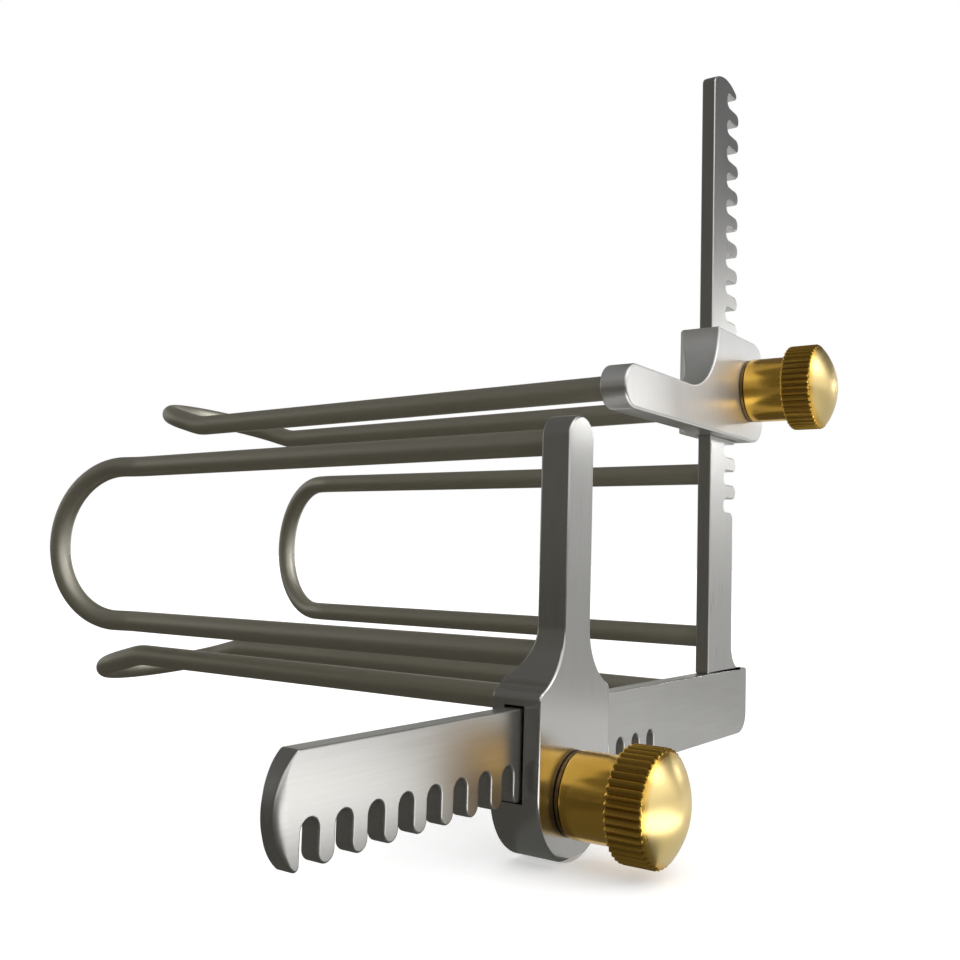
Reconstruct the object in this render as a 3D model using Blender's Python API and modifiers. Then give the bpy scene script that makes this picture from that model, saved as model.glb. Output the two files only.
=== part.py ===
"""Four-blade wire vaginal speculum with two rack-and-pinion carriages.

Metres, +Z up. The origin lies on the front face of the frame, where the
centre lines of the two rack bars cross. +X is the operator's right, +Y runs
along the blades away from the operator, and the knobs face -Y.

Two toothed bars, brazed in a corner, carry the right and the lower blade.
The left blade rides on a carriage along the level bar, and the upper blade
on a carriage along the upright bar. A gold knob on each carriage turns a
lantern pinion, two pins between two cheeks, whose pins walk along the slots.
"""
import math

import bmesh
import bpy
from mathutils import Matrix, Vector

MM = 0.001

# Rack bars
BAR_HEIGHT = 10.0 * MM
BAR_THICKNESS = 2.1 * MM
BAR_LEFT_END = 91.9 * MM
BAR_RIGHT_END = 10.8 * MM
BAR_END_RADIUS = 6.4 * MM
BAR_CORNER_RADIUS = 3.0 * MM
UPRIGHT_WIDTH = 8.9 * MM
UPRIGHT_TOP = 97.6 * MM
UPRIGHT_TEETH_PROUD = 1.0 * MM
UPRIGHT_CREST_RADIUS = 8.0 * MM
UPRIGHT_CREST_SHIFT = 0.4 * MM
UPRIGHT_CORNER_RADIUS = 1.2 * MM
UPRIGHT_FINGER_RADIUS = 0.35 * MM
FOOT_FILLET = 3.9 * MM
BRAZE_GAP = 0.1 * MM

# Rack teeth
PITCH = 4.28 * MM
SLOT_COUNT = 16
SLOT_WIDTH = 2.13 * MM
LEVEL_SLOT_DEPTH = 4.15 * MM
UPRIGHT_SLOT_DEPTH = 4.7 * MM
FIRST_SLOT_FROM_END = 4.12 * MM
FIRST_SLOT_BELOW_TOP = 3.13 * MM

# Wire blades
WIRE_DIAMETER = 3.2 * MM
BLADE_LENGTH = 93.3 * MM
BLADE_BEND_RADIUS = 10.0 * MM
BLADE_TIP_LENGTH = 13.9 * MM
BLADE_FLARE = math.radians(15.6)
SIDE_BLADE_WIDTH = 24.75 * MM
SIDE_BLADE_HEIGHT = 22.6 * MM
LEVEL_BLADE_WIDTH = 21.5 * MM
RIGHT_BLADE_SHIFT = 0.6 * MM
LOWER_BLADE_CLEARANCE = 0.5 * MM
LOWER_BLADE_LEAN = math.radians(3.5)
SOCKET_DEPTH = 1.2 * MM

# Carriages
CARRIAGE_LENGTH = 15.8 * MM
CARRIAGE_FRONT_WALL = 2.04 * MM
CARRIAGE_REAR_WALL = 1.73 * MM
CARRIAGE_CORNER = 4.1 * MM
BAR_CLEARANCE = 0.25 * MM
LEFT_CARRIAGE_PLACE = 47.45 * MM
LEFT_CARRIAGE_TOP_WALL = 1.35 * MM
LEFT_CARRIAGE_DROP = 7.5 * MM
LEFT_ARM_TOP = 38.0 * MM
UPPER_CARRIAGE_PLACE = 48.4 * MM
UPPER_CARRIAGE_INNER_WALL = 2.5 * MM
UPPER_CARRIAGE_REACH = 5.75 * MM
UPPER_ARM_END = 36.85 * MM
UPPER_ARM_FILLET = 10.0 * MM
UPPER_RELIEF_BITE = 0.3 * MM
ARM_WIDTH = 5.8 * MM
ARM_DEPTH = 3.8 * MM
ARM_FILLET = 7.5 * MM
EDGE_ROUND = 0.45 * MM

# Lantern pinion
PIN_CIRCLE_RADIUS = 1.8 * MM
PIN_RADIUS = 0.65 * MM
CHEEK_RADIUS = 3.0 * MM
REAR_CHEEK_THICKNESS = 0.75 * MM
SHAFT_RADIUS = 1.6 * MM
JOURNAL_RADIUS = 1.2 * MM
JOURNAL_WALL = 0.75 * MM
JOURNAL_TAIL = 0.45 * MM
GROOVE_DEPTH = 0.35 * MM
RUNNING_GAP = 0.2 * MM
SEAT_GAP = 0.15 * MM
END_GAP = 0.1 * MM
BUSH_WALL = 0.6 * MM
WASHER_RADIUS = 4.4 * MM
WASHER_THICKNESS = 0.4 * MM
RING_THICKNESS = 0.5 * MM
RING_WIDTH = 1.1 * MM
RING_OPENING = 70.0

# Knob
SLEEVE_RADIUS = 4.9 * MM
SLEEVE_LENGTH = 6.2 * MM
SLEEVE_CHAMFER = 0.25 * MM
HEAD_RADIUS = 6.4 * MM
HEAD_LENGTH = 4.4 * MM
HEAD_CHAMFER = 0.5 * MM
DOME_HEIGHT = 2.0 * MM
KNURL_COUNT = 34
KNURL_DEPTH = 0.35 * MM
KNOB_BORE_DEPTH = 8.0 * MM

# How finely round shapes are faceted
SLOT_STEPS = 5
ARC_STEPS = 10
TURN_STEPS = 28
PIN_STEPS = 16
WIRE_RESOLUTION = 3
TIP_STEPS = 20

# Places worked out from the sizes above
HALF_BAR = BAR_HEIGHT / 2
HALF_UPRIGHT = UPRIGHT_WIDTH / 2
HALF_CARRIAGE = CARRIAGE_LENGTH / 2
HALF_ARM = ARM_WIDTH / 2
WIRE_RADIUS = WIRE_DIAMETER / 2
SLOT_RADIUS = SLOT_WIDTH / 2
TOOTH_RADIUS = (PITCH - SLOT_WIDTH) / 2
LOWER_TIPS = -HALF_BAR
OUTER_TIPS = HALF_UPRIGHT + UPRIGHT_TEETH_PROUD
FIRST_SLOT_X = -BAR_LEFT_END + FIRST_SLOT_FROM_END
FIRST_SLOT_Z = UPRIGHT_TOP - FIRST_SLOT_BELOW_TOP
WAY_FRONT = -BAR_CLEARANCE
WAY_BACK = BAR_THICKNESS + BAR_CLEARANCE
CARRIAGE_FRONT = WAY_FRONT - CARRIAGE_FRONT_WALL
CARRIAGE_BACK = WAY_BACK + CARRIAGE_REAR_WALL
ARM_BACK = CARRIAGE_FRONT + ARM_DEPTH
SOCKET_END = ARM_BACK - SOCKET_DEPTH
CHEEK_BORE = CHEEK_RADIUS + RUNNING_GAP
BUSH_RADIUS = CHEEK_BORE + BUSH_WALL
BUSH_SEAT = BUSH_RADIUS + SEAT_GAP
POCKET_END = CARRIAGE_BACK - JOURNAL_WALL
FRONT_CHEEK_FRONT = CARRIAGE_FRONT + END_GAP
FRONT_CHEEK_BACK = WAY_FRONT - END_GAP
REAR_CHEEK_BACK = POCKET_END - END_GAP
REAR_CHEEK_FRONT = REAR_CHEEK_BACK - REAR_CHEEK_THICKNESS
WASHER_BACK = CARRIAGE_FRONT - END_GAP
WASHER_FRONT = WASHER_BACK - WASHER_THICKNESS
SLEEVE_BACK = WASHER_FRONT - END_GAP
HEAD_BACK = SLEEVE_BACK - SLEEVE_LENGTH
HEAD_FRONT = HEAD_BACK - HEAD_LENGTH
KNOB_BORE_END = SLEEVE_BACK - KNOB_BORE_DEPTH
RING_FRONT = CARRIAGE_BACK + SEAT_GAP
RING_BACK = RING_FRONT + RING_THICKNESS
BEYOND = 2.0 * MM

# Colour, roughness and metallic value of each finish
SATIN_STEEL = ((0.56, 0.56, 0.54), 0.34, 1.0)
BRIGHT_STEEL = ((0.62, 0.62, 0.61), 0.22, 1.0)
GOLD_PLATE = ((0.83, 0.60, 0.22), 0.20, 1.0)
BRONZE = ((0.55, 0.38, 0.20), 0.38, 1.0)
DARK_STEEL = ((0.16, 0.16, 0.17), 0.42, 1.0)


def clear_scene():
    """Empty the scene and make the collections for the parts and the cutters."""
    for old in list(bpy.data.objects):
        bpy.data.objects.remove(old, do_unlink=True)
    parts = bpy.data.collections.new("vaginal_speculum")
    cutters = bpy.data.collections.new("cutters")
    bpy.context.scene.collection.children.link(parts)
    bpy.context.scene.collection.children.link(cutters)
    return parts, cutters


PARTS, CUTTERS = clear_scene()


def finish(piece, look, angle=35.0):
    """Give a piece its own material and shade it smooth between sharp edges."""
    colour, roughness, metallic = look
    material = bpy.data.materials.new(piece.name)
    material.use_nodes = True
    shader = material.node_tree.nodes["Principled BSDF"]
    shader.inputs["Base Color"].default_value = (*colour, 1.0)
    shader.inputs["Roughness"].default_value = roughness
    shader.inputs["Metallic"].default_value = metallic
    piece.data.materials.clear()
    piece.data.materials.append(material)
    piece.data.shade_smooth()
    piece.data.set_sharp_from_angle(angle=math.radians(angle))
    return piece


def new_piece(name, mesh):
    """An object for a mesh, in the parts' collection."""
    piece = bpy.data.objects.new(name, mesh)
    PARTS.objects.link(piece)
    return piece


def made_mesh(source, weld=0.00001):
    """Replace a curve, or a piece with a modifier, by its welded mesh in place."""
    bpy.context.view_layer.update()
    evaluated = source.evaluated_get(bpy.context.evaluated_depsgraph_get())
    mesh = bpy.data.meshes.new_from_object(evaluated)
    name, place = source.name, source.matrix_world.copy()
    bpy.data.objects.remove(source, do_unlink=True)
    work = bmesh.new()
    work.from_mesh(mesh)
    bmesh.ops.remove_doubles(work, verts=work.verts, dist=weld)
    bmesh.ops.recalc_face_normals(work, faces=work.faces)
    work.to_mesh(mesh)
    work.free()
    mesh.name = name
    piece = new_piece(name, mesh)
    piece.data.transform(place)
    return piece


def arc(centre, radius, start, end, steps=ARC_STEPS):
    """Points on an arc between two angles in degrees, both ends included."""
    points = []
    for step in range(steps + 1):
        angle = math.radians(start + (end - start) * step / steps)
        points.append((centre[0] + radius * math.cos(angle), centre[1] + radius * math.sin(angle)))
    return points


def without_repeats(points, least=0.00002):
    """Drop each point that lies on the one before it."""
    kept = []
    for point in points:
        if not kept or math.dist(point, kept[-1]) > least:
            kept.append(point)
    if math.dist(kept[0], kept[-1]) < least:
        kept.pop()
    return kept


def plate(name, outline, front, back):
    """A flat piece from an outline in X and Z, between two depths along Y."""
    curve = bpy.data.curves.new(name, "CURVE")
    curve.dimensions = "2D"
    curve.fill_mode = "BOTH"
    curve.extrude = (back - front) / 2
    points = without_repeats(outline)
    spline = curve.splines.new("POLY")
    spline.points.add(len(points) - 1)
    for point, (x, z) in zip(spline.points, points):
        point.co = (x, z, 0.0, 1.0)
    spline.use_cyclic_u = True
    piece = new_piece(name, curve)
    piece.rotation_euler = (math.radians(90.0), 0.0, 0.0)
    piece.location = (0.0, (front + back) / 2, 0.0)
    return made_mesh(piece)


def turned(name, profile, steps=TURN_STEPS):
    """A piece turned about the Y axis from (radius, y) points, front to back.

    A profile that starts off the axis is closed on itself.
    """
    mesh = bpy.data.meshes.new(name)
    work = bmesh.new()
    corners = [work.verts.new((radius, 0.0, -y)) for radius, y in profile]
    for first, second in zip(corners, corners[1:]):
        work.edges.new((first, second))
    if profile[0][0] > 0.0:
        work.edges.new((corners[-1], corners[0]))
    work.to_mesh(mesh)
    work.free()
    piece = new_piece(name, mesh)
    screw = piece.modifiers.new("turn", "SCREW")
    screw.axis = "Z"
    screw.steps = steps
    screw.render_steps = steps
    screw.use_merge_vertices = True
    screw.merge_threshold = 0.000005
    piece.rotation_euler = (math.radians(90.0), 0.0, 0.0)
    return made_mesh(piece, weld=0.000005)


def box(name, low, high):
    """A box between two corners."""
    mesh = bpy.data.meshes.new(name)
    work = bmesh.new()
    bmesh.ops.create_cube(work, size=1.0)
    low, high = Vector(low), Vector(high)
    bmesh.ops.scale(work, vec=high - low, verts=work.verts)
    bmesh.ops.translate(work, vec=(low + high) / 2, verts=work.verts)
    work.to_mesh(mesh)
    work.free()
    return new_piece(name, mesh)


def rod(name, place, radius, front, back, steps=PIN_STEPS):
    """A cylinder along Y at an (x, z) place, between two depths."""
    mesh = bpy.data.meshes.new(name)
    work = bmesh.new()
    stand = Matrix.Translation((place[0], (front + back) / 2, place[1]))
    lie = Matrix.Rotation(math.radians(90.0), 4, "X")
    bmesh.ops.create_cone(work, cap_ends=True, segments=steps, radius1=radius, radius2=radius,
                          depth=back - front, matrix=stand @ lie)
    bmesh.ops.recalc_face_normals(work, faces=work.faces)
    work.to_mesh(mesh)
    work.free()
    return new_piece(name, mesh)


def cut(piece, tool):
    """Cut a piece with a tool, which moves to the cutters' collection."""
    PARTS.objects.unlink(tool)
    CUTTERS.objects.link(tool)
    tool.hide_render = True
    tool.display_type = "WIRE"
    modifier = piece.modifiers.new(tool.name, "BOOLEAN")
    modifier.operation = "DIFFERENCE"
    modifier.solver = "EXACT"
    modifier.object = tool


def round_edges(piece, width):
    """Round the square edges of a piece."""
    bevel = piece.modifiers.new("edge rounding", "BEVEL")
    bevel.width = width
    bevel.segments = 2
    bevel.limit_method = "ANGLE"
    bevel.angle_limit = math.radians(50.0)


def toothed_edge(depth):
    """The slots and the round-nosed teeth between them, along +u from slot 0.

    The tooth tips lie at v = 0 and the slots reach v = depth. The list starts
    on the near side of slot 0 and ends on the far side of the last slot.
    """
    points = []
    for index in range(SLOT_COUNT):
        centre = index * PITCH
        if index:
            tooth = (centre - PITCH / 2, TOOTH_RADIUS)
            points += arc(tooth, TOOTH_RADIUS, 180, 360, SLOT_STEPS)
        points += arc((centre, depth - SLOT_RADIUS), SLOT_RADIUS, 180, 0, SLOT_STEPS)
    return points


def level_rack():
    """The level bar: slots along its lower edge, a round left end."""
    end_centre = -BAR_LEFT_END + BAR_END_RADIUS
    reach = end_centre - (FIRST_SLOT_X - SLOT_RADIUS)
    half_sum = reach - HALF_BAR + BAR_END_RADIUS
    excess = reach ** 2 + HALF_BAR ** 2 - BAR_END_RADIUS ** 2
    # a small circle inside the end's circle, touching it, the tip level and slot 0
    finger = -half_sum + math.sqrt(max(half_sum ** 2 - excess, 0.0))
    finger = max(finger, 0.1 * MM)
    finger_x = FIRST_SLOT_X - SLOT_RADIUS - finger
    finger_z = LOWER_TIPS + finger
    meet = math.degrees(math.atan2(finger_z, finger_x - end_centre)) % 360.0
    corner = math.degrees(math.acos(-math.sqrt(BAR_END_RADIUS ** 2 - HALF_BAR ** 2)
                                    / BAR_END_RADIUS))
    outline = arc((end_centre, 0.0), BAR_END_RADIUS, corner, meet)
    outline += arc((finger_x, finger_z), finger, meet, 360, 4)
    outline += [(FIRST_SLOT_X + u, LOWER_TIPS + v) for u, v in toothed_edge(LEVEL_SLOT_DEPTH)]
    last_side = FIRST_SLOT_X + (SLOT_COUNT - 1) * PITCH + SLOT_RADIUS
    outline += arc((last_side + TOOTH_RADIUS, LOWER_TIPS + TOOTH_RADIUS), TOOTH_RADIUS,
                   180, 270, 3)
    outline += arc((BAR_RIGHT_END - BAR_CORNER_RADIUS, LOWER_TIPS + BAR_CORNER_RADIUS),
                   BAR_CORNER_RADIUS, 270, 360, 5)
    outline += [(BAR_RIGHT_END, HALF_BAR)]
    return finish(plate("horizontal_rack", outline, 0.0, BAR_THICKNESS), SATIN_STEEL)


def touching_arc_centre(crest, radius, x):
    """Height of a small circle at x that touches the crest circle from inside."""
    inner = UPRIGHT_CREST_RADIUS - radius
    return crest[1] + math.sqrt(inner ** 2 - (x - crest[0]) ** 2)


def upright_rack():
    """The upright bar: slots along its outer edge, a round top, a flared foot."""
    crest = (UPRIGHT_CREST_SHIFT, UPRIGHT_TOP - UPRIGHT_CREST_RADIUS)
    left_x = -HALF_UPRIGHT + UPRIGHT_CORNER_RADIUS
    left_z = touching_arc_centre(crest, UPRIGHT_CORNER_RADIUS, left_x)
    left_turn = math.degrees(math.atan2(left_z - crest[1], left_x - crest[0]))
    finger_z = FIRST_SLOT_Z + SLOT_RADIUS + UPRIGHT_FINGER_RADIUS
    inner = UPRIGHT_CREST_RADIUS - UPRIGHT_FINGER_RADIUS
    finger_x = crest[0] + math.sqrt(inner ** 2 - (finger_z - crest[1]) ** 2)
    right_turn = math.degrees(math.atan2(finger_z - crest[1], finger_x - crest[0]))
    base = HALF_BAR + BRAZE_GAP
    foot = (HALF_UPRIGHT + FOOT_FILLET, HALF_BAR + FOOT_FILLET)
    foot_turn = 180.0 + math.degrees(math.asin(1.0 - BRAZE_GAP / FOOT_FILLET))

    outline = [(-HALF_UPRIGHT, base)]
    outline += arc(foot, FOOT_FILLET, foot_turn, 180, 8)
    last_side = FIRST_SLOT_Z - (SLOT_COUNT - 1) * PITCH - SLOT_RADIUS
    outline += arc((HALF_UPRIGHT - TOOTH_RADIUS, last_side - TOOTH_RADIUS), TOOTH_RADIUS, 0, 90, 3)
    teeth = [(OUTER_TIPS - v, FIRST_SLOT_Z - u) for u, v in toothed_edge(UPRIGHT_SLOT_DEPTH)]
    outline += reversed(teeth)
    outline += arc((finger_x, finger_z), UPRIGHT_FINGER_RADIUS, -90, right_turn, 5)
    outline += arc(crest, UPRIGHT_CREST_RADIUS, right_turn, left_turn)
    outline += arc((left_x, left_z), UPRIGHT_CORNER_RADIUS, left_turn, 180, 4)
    return finish(plate("vertical_rack", outline, 0.0, BAR_THICKNESS), SATIN_STEEL)


def loop_path(width, root):
    """Centre line of a blade as (across, along, outward) points.

    Two straight runs leave the root, bend outwards by the flare and meet in
    a half circle that lies in the flared plane. Every tip ends at the same
    distance behind the bar, whatever its root.
    """
    half = width / 2
    bend_start = (BAR_THICKNESS + BLADE_LENGTH - BLADE_BEND_RADIUS * math.sin(BLADE_FLARE)
                  - BLADE_TIP_LENGTH * math.cos(BLADE_FLARE))
    side = [(root, 0.0)]
    bend_steps = 5
    for step in range(bend_steps + 1):
        angle = BLADE_FLARE * step / bend_steps
        side.append((bend_start + BLADE_BEND_RADIUS * math.sin(angle),
                     BLADE_BEND_RADIUS * (1.0 - math.cos(angle))))
    forward = Vector((math.cos(BLADE_FLARE), math.sin(BLADE_FLARE)))
    centre = Vector(side[-1]) + forward * (BLADE_TIP_LENGTH - half)
    path = [(half, along, out) for along, out in side]
    for step in range(TIP_STEPS + 1):
        angle = math.pi * step / TIP_STEPS
        place = centre + forward * half * math.sin(angle)
        path.append((half * math.cos(angle), place.x, place.y))
    path += [(-half, along, out) for along, out in reversed(side)]
    return path


def blade(name, path, to_place):
    """A round wire bent into a loop; to_place turns a path point into a place."""
    curve = bpy.data.curves.new(name, "CURVE")
    curve.dimensions = "3D"
    curve.bevel_depth = WIRE_RADIUS
    curve.bevel_resolution = WIRE_RESOLUTION
    curve.use_fill_caps = True
    spline = curve.splines.new("POLY")
    places = without_repeats([to_place(*point) for point in path], 0.0001)
    spline.points.add(len(places) - 1)
    for point, place in zip(spline.points, places):
        point.co = (*place, 1.0)
    return finish(made_mesh(new_piece(name, curve)), SATIN_STEEL, 50.0)


def rear_fillet_sweep():
    """Angle of the fillet between the arm's back and the block's back."""
    return math.acos(1.0 - min((CARRIAGE_BACK - ARM_BACK) / ARM_FILLET, 1.0))


def rear_fillet_rise():
    """Length along the arm of the fillet behind it."""
    return ARM_FILLET * math.sin(rear_fillet_sweep())


def arm_relief(name, fillet_end, across):
    """Cutter that thins the arm from behind, with a fillet up to the block.

    It is drawn for an arm along +Z whose fillet runs out at fillet_end.
    """
    run_out = math.degrees(rear_fillet_sweep()) + 10.0
    centre = (ARM_BACK + ARM_FILLET, fillet_end)
    outline = arc(centre, ARM_FILLET, 180 + run_out, 180, 8)
    outline += [(ARM_BACK, UPRIGHT_TOP), (CARRIAGE_BACK + BEYOND, UPRIGHT_TOP),
                (CARRIAGE_BACK + BEYOND, outline[0][1])]
    tool = plate(name, outline, -across, across)
    tool.data.transform(Matrix.Rotation(math.radians(90.0), 4, "Z"))
    return tool


def pinion_bore(name, axis):
    """Stepped cutter: bush seat, pocket for the pinion, hole for its journal."""
    front, back = CARRIAGE_FRONT - BEYOND, CARRIAGE_BACK + BEYOND
    seat_end = WAY_FRONT + BAR_CLEARANCE / 2
    hole = JOURNAL_RADIUS + RUNNING_GAP
    tool = turned(name, [(0.0, front), (BUSH_SEAT, front), (BUSH_SEAT, seat_end),
                         (CHEEK_BORE, seat_end), (CHEEK_BORE, POCKET_END), (hole, POCKET_END),
                         (hole, back), (0.0, back)])
    tool.data.transform(Matrix.Translation((axis[0], 0.0, axis[1])))
    return tool


def cut_blade_sockets(piece, name, places):
    """Drill the arm for the two ends of its blade's wire."""
    for number, place in enumerate(places, 1):
        socket = rod(f"{name}_socket_{number}", place, WIRE_RADIUS + SEAT_GAP, SOCKET_END,
                     CARRIAGE_BACK + BEYOND, TURN_STEPS)
        cut(piece, socket)


def left_carriage():
    """The block on the level bar, with an arm that stands up from it."""
    top = HALF_BAR + BAR_CLEARANCE + LEFT_CARRIAGE_TOP_WALL
    low = LOWER_TIPS - LEFT_CARRIAGE_DROP
    spread = min((HALF_CARRIAGE - HALF_ARM) / ARM_FILLET, 1.0)
    turn = math.degrees(math.acos(1.0 - spread))
    fillet_z = top + ARM_FILLET * math.sin(math.radians(turn))
    fillet_x = HALF_ARM + ARM_FILLET
    outline = arc((0.0, low + HALF_CARRIAGE), HALF_CARRIAGE, 180, 360, 16)
    outline += arc((fillet_x, fillet_z), ARM_FILLET, 180 + turn, 180)
    outline += arc((0.0, LEFT_ARM_TOP - HALF_ARM), HALF_ARM, 0, 180, 12)
    outline += arc((-fillet_x, fillet_z), ARM_FILLET, 0, -turn)
    piece = plate("left_carriage", outline, CARRIAGE_FRONT, CARRIAGE_BACK)
    round_edges(piece, EDGE_ROUND)
    cut(piece, arm_relief("left_arm_relief", fillet_z, CARRIAGE_LENGTH))
    cut(piece, box("left_bar_way",
                   (-CARRIAGE_LENGTH, WAY_FRONT, LOWER_TIPS - BAR_CLEARANCE),
                   (CARRIAGE_LENGTH, WAY_BACK, HALF_BAR + BAR_CLEARANCE)))
    cut(piece, pinion_bore("left_pinion_bore", (0.0, LOWER_TIPS)))
    half = SIDE_BLADE_WIDTH / 2
    cut_blade_sockets(piece, "left", [(0.0, SIDE_BLADE_HEIGHT - half),
                                      (0.0, SIDE_BLADE_HEIGHT + half)])
    return finish(piece, SATIN_STEEL)


def upper_carriage():
    """The block on the upright bar, with an arm to the operator's left."""
    left = -HALF_UPRIGHT - BAR_CLEARANCE - UPPER_CARRIAGE_INNER_WALL
    right = OUTER_TIPS + UPPER_CARRIAGE_REACH
    arm_top = -HALF_CARRIAGE + ARM_WIDTH
    fillet = min(UPPER_ARM_FILLET, HALF_CARRIAGE - arm_top)
    outline = arc((right - CARRIAGE_CORNER, -HALF_CARRIAGE + CARRIAGE_CORNER), CARRIAGE_CORNER,
                  270, 360, 7)
    outline += arc((right - CARRIAGE_CORNER, HALF_CARRIAGE - CARRIAGE_CORNER), CARRIAGE_CORNER,
                   0, 90, 7)
    outline += [(left, HALF_CARRIAGE)]
    outline += arc((left - fillet, arm_top + fillet), fillet, 0, -90)
    outline += arc((-UPPER_ARM_END + HALF_ARM, -HALF_CARRIAGE + HALF_ARM), HALF_ARM, 90, 270, 12)
    piece = plate("upper_carriage", outline, CARRIAGE_FRONT, CARRIAGE_BACK)
    round_edges(piece, EDGE_ROUND)
    fillet_end = rear_fillet_rise() - left - UPPER_RELIEF_BITE
    relief = arm_relief("upper_arm_relief", fillet_end, CARRIAGE_LENGTH)
    relief.data.transform(Matrix.Rotation(math.radians(-90.0), 4, "Y"))
    cut(piece, relief)
    cut(piece, box("upper_bar_way",
                   (-HALF_UPRIGHT - BAR_CLEARANCE, WAY_FRONT, -CARRIAGE_LENGTH),
                   (OUTER_TIPS + BAR_CLEARANCE, WAY_BACK, CARRIAGE_LENGTH)))
    cut(piece, pinion_bore("upper_pinion_bore", (OUTER_TIPS, 0.0)))
    end, height = -UPPER_ARM_END + HALF_ARM, -HALF_CARRIAGE + HALF_ARM
    cut_blade_sockets(piece, "upper", [(end, height), (end + LEVEL_BLADE_WIDTH, height)])
    return finish(piece, SATIN_STEEL)


def pin_place(angle):
    """The (x, z) place of a pinion pin, at an angle from +Z towards +X."""
    return (PIN_CIRCLE_RADIUS * math.sin(angle), PIN_CIRCLE_RADIUS * math.cos(angle))


def drill_for_pins(piece, angle, front, back):
    """Drill a cheek for its two pins."""
    for turn in (0.0, math.pi):
        name = piece.name + "_hole_" + ("2" if turn else "1")
        cut(piece, rod(name, pin_place(angle + turn), PIN_RADIUS + SEAT_GAP, front, back))


def bush(name):
    """The bronze ring in the carriage's front wall, in which the pinion turns."""
    front, back = CARRIAGE_FRONT + END_GAP, WAY_FRONT - END_GAP
    return finish(turned(name, [(CHEEK_BORE, front), (BUSH_RADIUS, front), (BUSH_RADIUS, back),
                                (CHEEK_BORE, back)]), BRONZE)


def thrust_washer(name):
    """The dark washer between the carriage and the knob's sleeve."""
    hole = SHAFT_RADIUS + RUNNING_GAP
    return finish(turned(name, [(hole, WASHER_FRONT), (WASHER_RADIUS, WASHER_FRONT),
                                (WASHER_RADIUS, WASHER_BACK), (hole, WASHER_BACK)]), DARK_STEEL)


def pinion_shaft(name, angle):
    """The knob's shaft with the pinion's front cheek."""
    tip = KNOB_BORE_END + SEAT_GAP
    piece = turned(name, [(0.0, tip), (SHAFT_RADIUS, tip), (SHAFT_RADIUS, FRONT_CHEEK_FRONT),
                          (CHEEK_RADIUS, FRONT_CHEEK_FRONT), (CHEEK_RADIUS, FRONT_CHEEK_BACK),
                          (0.0, FRONT_CHEEK_BACK)])
    half = (FRONT_CHEEK_FRONT + FRONT_CHEEK_BACK) / 2
    drill_for_pins(piece, angle, half - SEAT_GAP, FRONT_CHEEK_BACK + BEYOND)
    return finish(piece, BRIGHT_STEEL)


def pinion_cheek(name, angle):
    """The pinion's rear cheek, with a grooved journal through the rear wall."""
    groove = JOURNAL_RADIUS - GROOVE_DEPTH
    tail = RING_BACK + SEAT_GAP + JOURNAL_TAIL
    piece = turned(name, [(0.0, REAR_CHEEK_FRONT), (CHEEK_RADIUS, REAR_CHEEK_FRONT),
                          (CHEEK_RADIUS, REAR_CHEEK_BACK), (JOURNAL_RADIUS, REAR_CHEEK_BACK),
                          (JOURNAL_RADIUS, RING_FRONT - END_GAP), (groove, RING_FRONT - END_GAP),
                          (groove, RING_BACK + END_GAP), (JOURNAL_RADIUS, RING_BACK + END_GAP),
                          (JOURNAL_RADIUS, tail), (0.0, tail)])
    half = REAR_CHEEK_FRONT + REAR_CHEEK_THICKNESS / 2
    drill_for_pins(piece, angle, REAR_CHEEK_FRONT - BEYOND, half + SEAT_GAP)
    return finish(piece, BRIGHT_STEEL)


def pinion_pin(name, angle):
    """One lantern pin, seated half way into both cheeks."""
    front = (FRONT_CHEEK_FRONT + FRONT_CHEEK_BACK) / 2
    back = REAR_CHEEK_FRONT + REAR_CHEEK_THICKNESS / 2
    return finish(rod(name, pin_place(angle), PIN_RADIUS, front, back), BRIGHT_STEEL)


def retaining_ring(name):
    """An open spring ring in the journal's groove, behind the carriage."""
    inner = JOURNAL_RADIUS - GROOVE_DEPTH + SEAT_GAP
    outer = inner + RING_WIDTH
    half = RING_OPENING / 2
    outline = arc((0.0, 0.0), outer, -90 + half, 270 - half, 24)
    outline += arc((0.0, 0.0), inner, 270 - half, -90 + half, 24)
    return finish(plate(name, outline, RING_FRONT, RING_BACK), DARK_STEEL)


def knob(name):
    """The gold knob: smooth sleeve, knurled head, domed end and a blind bore."""
    bore = SHAFT_RADIUS + SEAT_GAP
    rim = HEAD_RADIUS - HEAD_CHAMFER
    sphere = (rim ** 2 + DOME_HEIGHT ** 2) / (2 * DOME_HEIGHT)
    apex = HEAD_FRONT - DOME_HEIGHT
    dome_steps = 4
    profile = []
    for step in range(dome_steps + 1):
        radius = rim * step / dome_steps
        profile.append((radius, apex + sphere - math.sqrt(sphere ** 2 - radius ** 2)))
    profile += [(HEAD_RADIUS, HEAD_FRONT + HEAD_CHAMFER), (HEAD_RADIUS, HEAD_BACK - HEAD_CHAMFER),
                (rim, HEAD_BACK), (SLEEVE_RADIUS, HEAD_BACK),
                (SLEEVE_RADIUS, SLEEVE_BACK - SLEEVE_CHAMFER),
                (SLEEVE_RADIUS - SLEEVE_CHAMFER, SLEEVE_BACK),
                (bore, SLEEVE_BACK), (bore, KNOB_BORE_END), (0.0, KNOB_BORE_END)]
    piece = turned(name, profile, steps=2 * KNURL_COUNT)
    cut_knurl(piece)
    return finish(piece, GOLD_PLATE, 20.0)


def cut_knurl(piece):
    """Pull in every second line of the head's rim, which leaves V grooves."""
    line_step = math.pi / KNURL_COUNT
    for vertex in piece.data.vertices:
        x, y, z = vertex.co
        radius = math.hypot(x, z)
        on_rim = abs(radius - HEAD_RADIUS) < 0.01 * MM
        line = round(math.atan2(z, x) / line_step)
        if on_rim and line % 2:
            shrink = (radius - KNURL_DEPTH) / radius
            vertex.co = (x * shrink, y, z * shrink)


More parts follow.
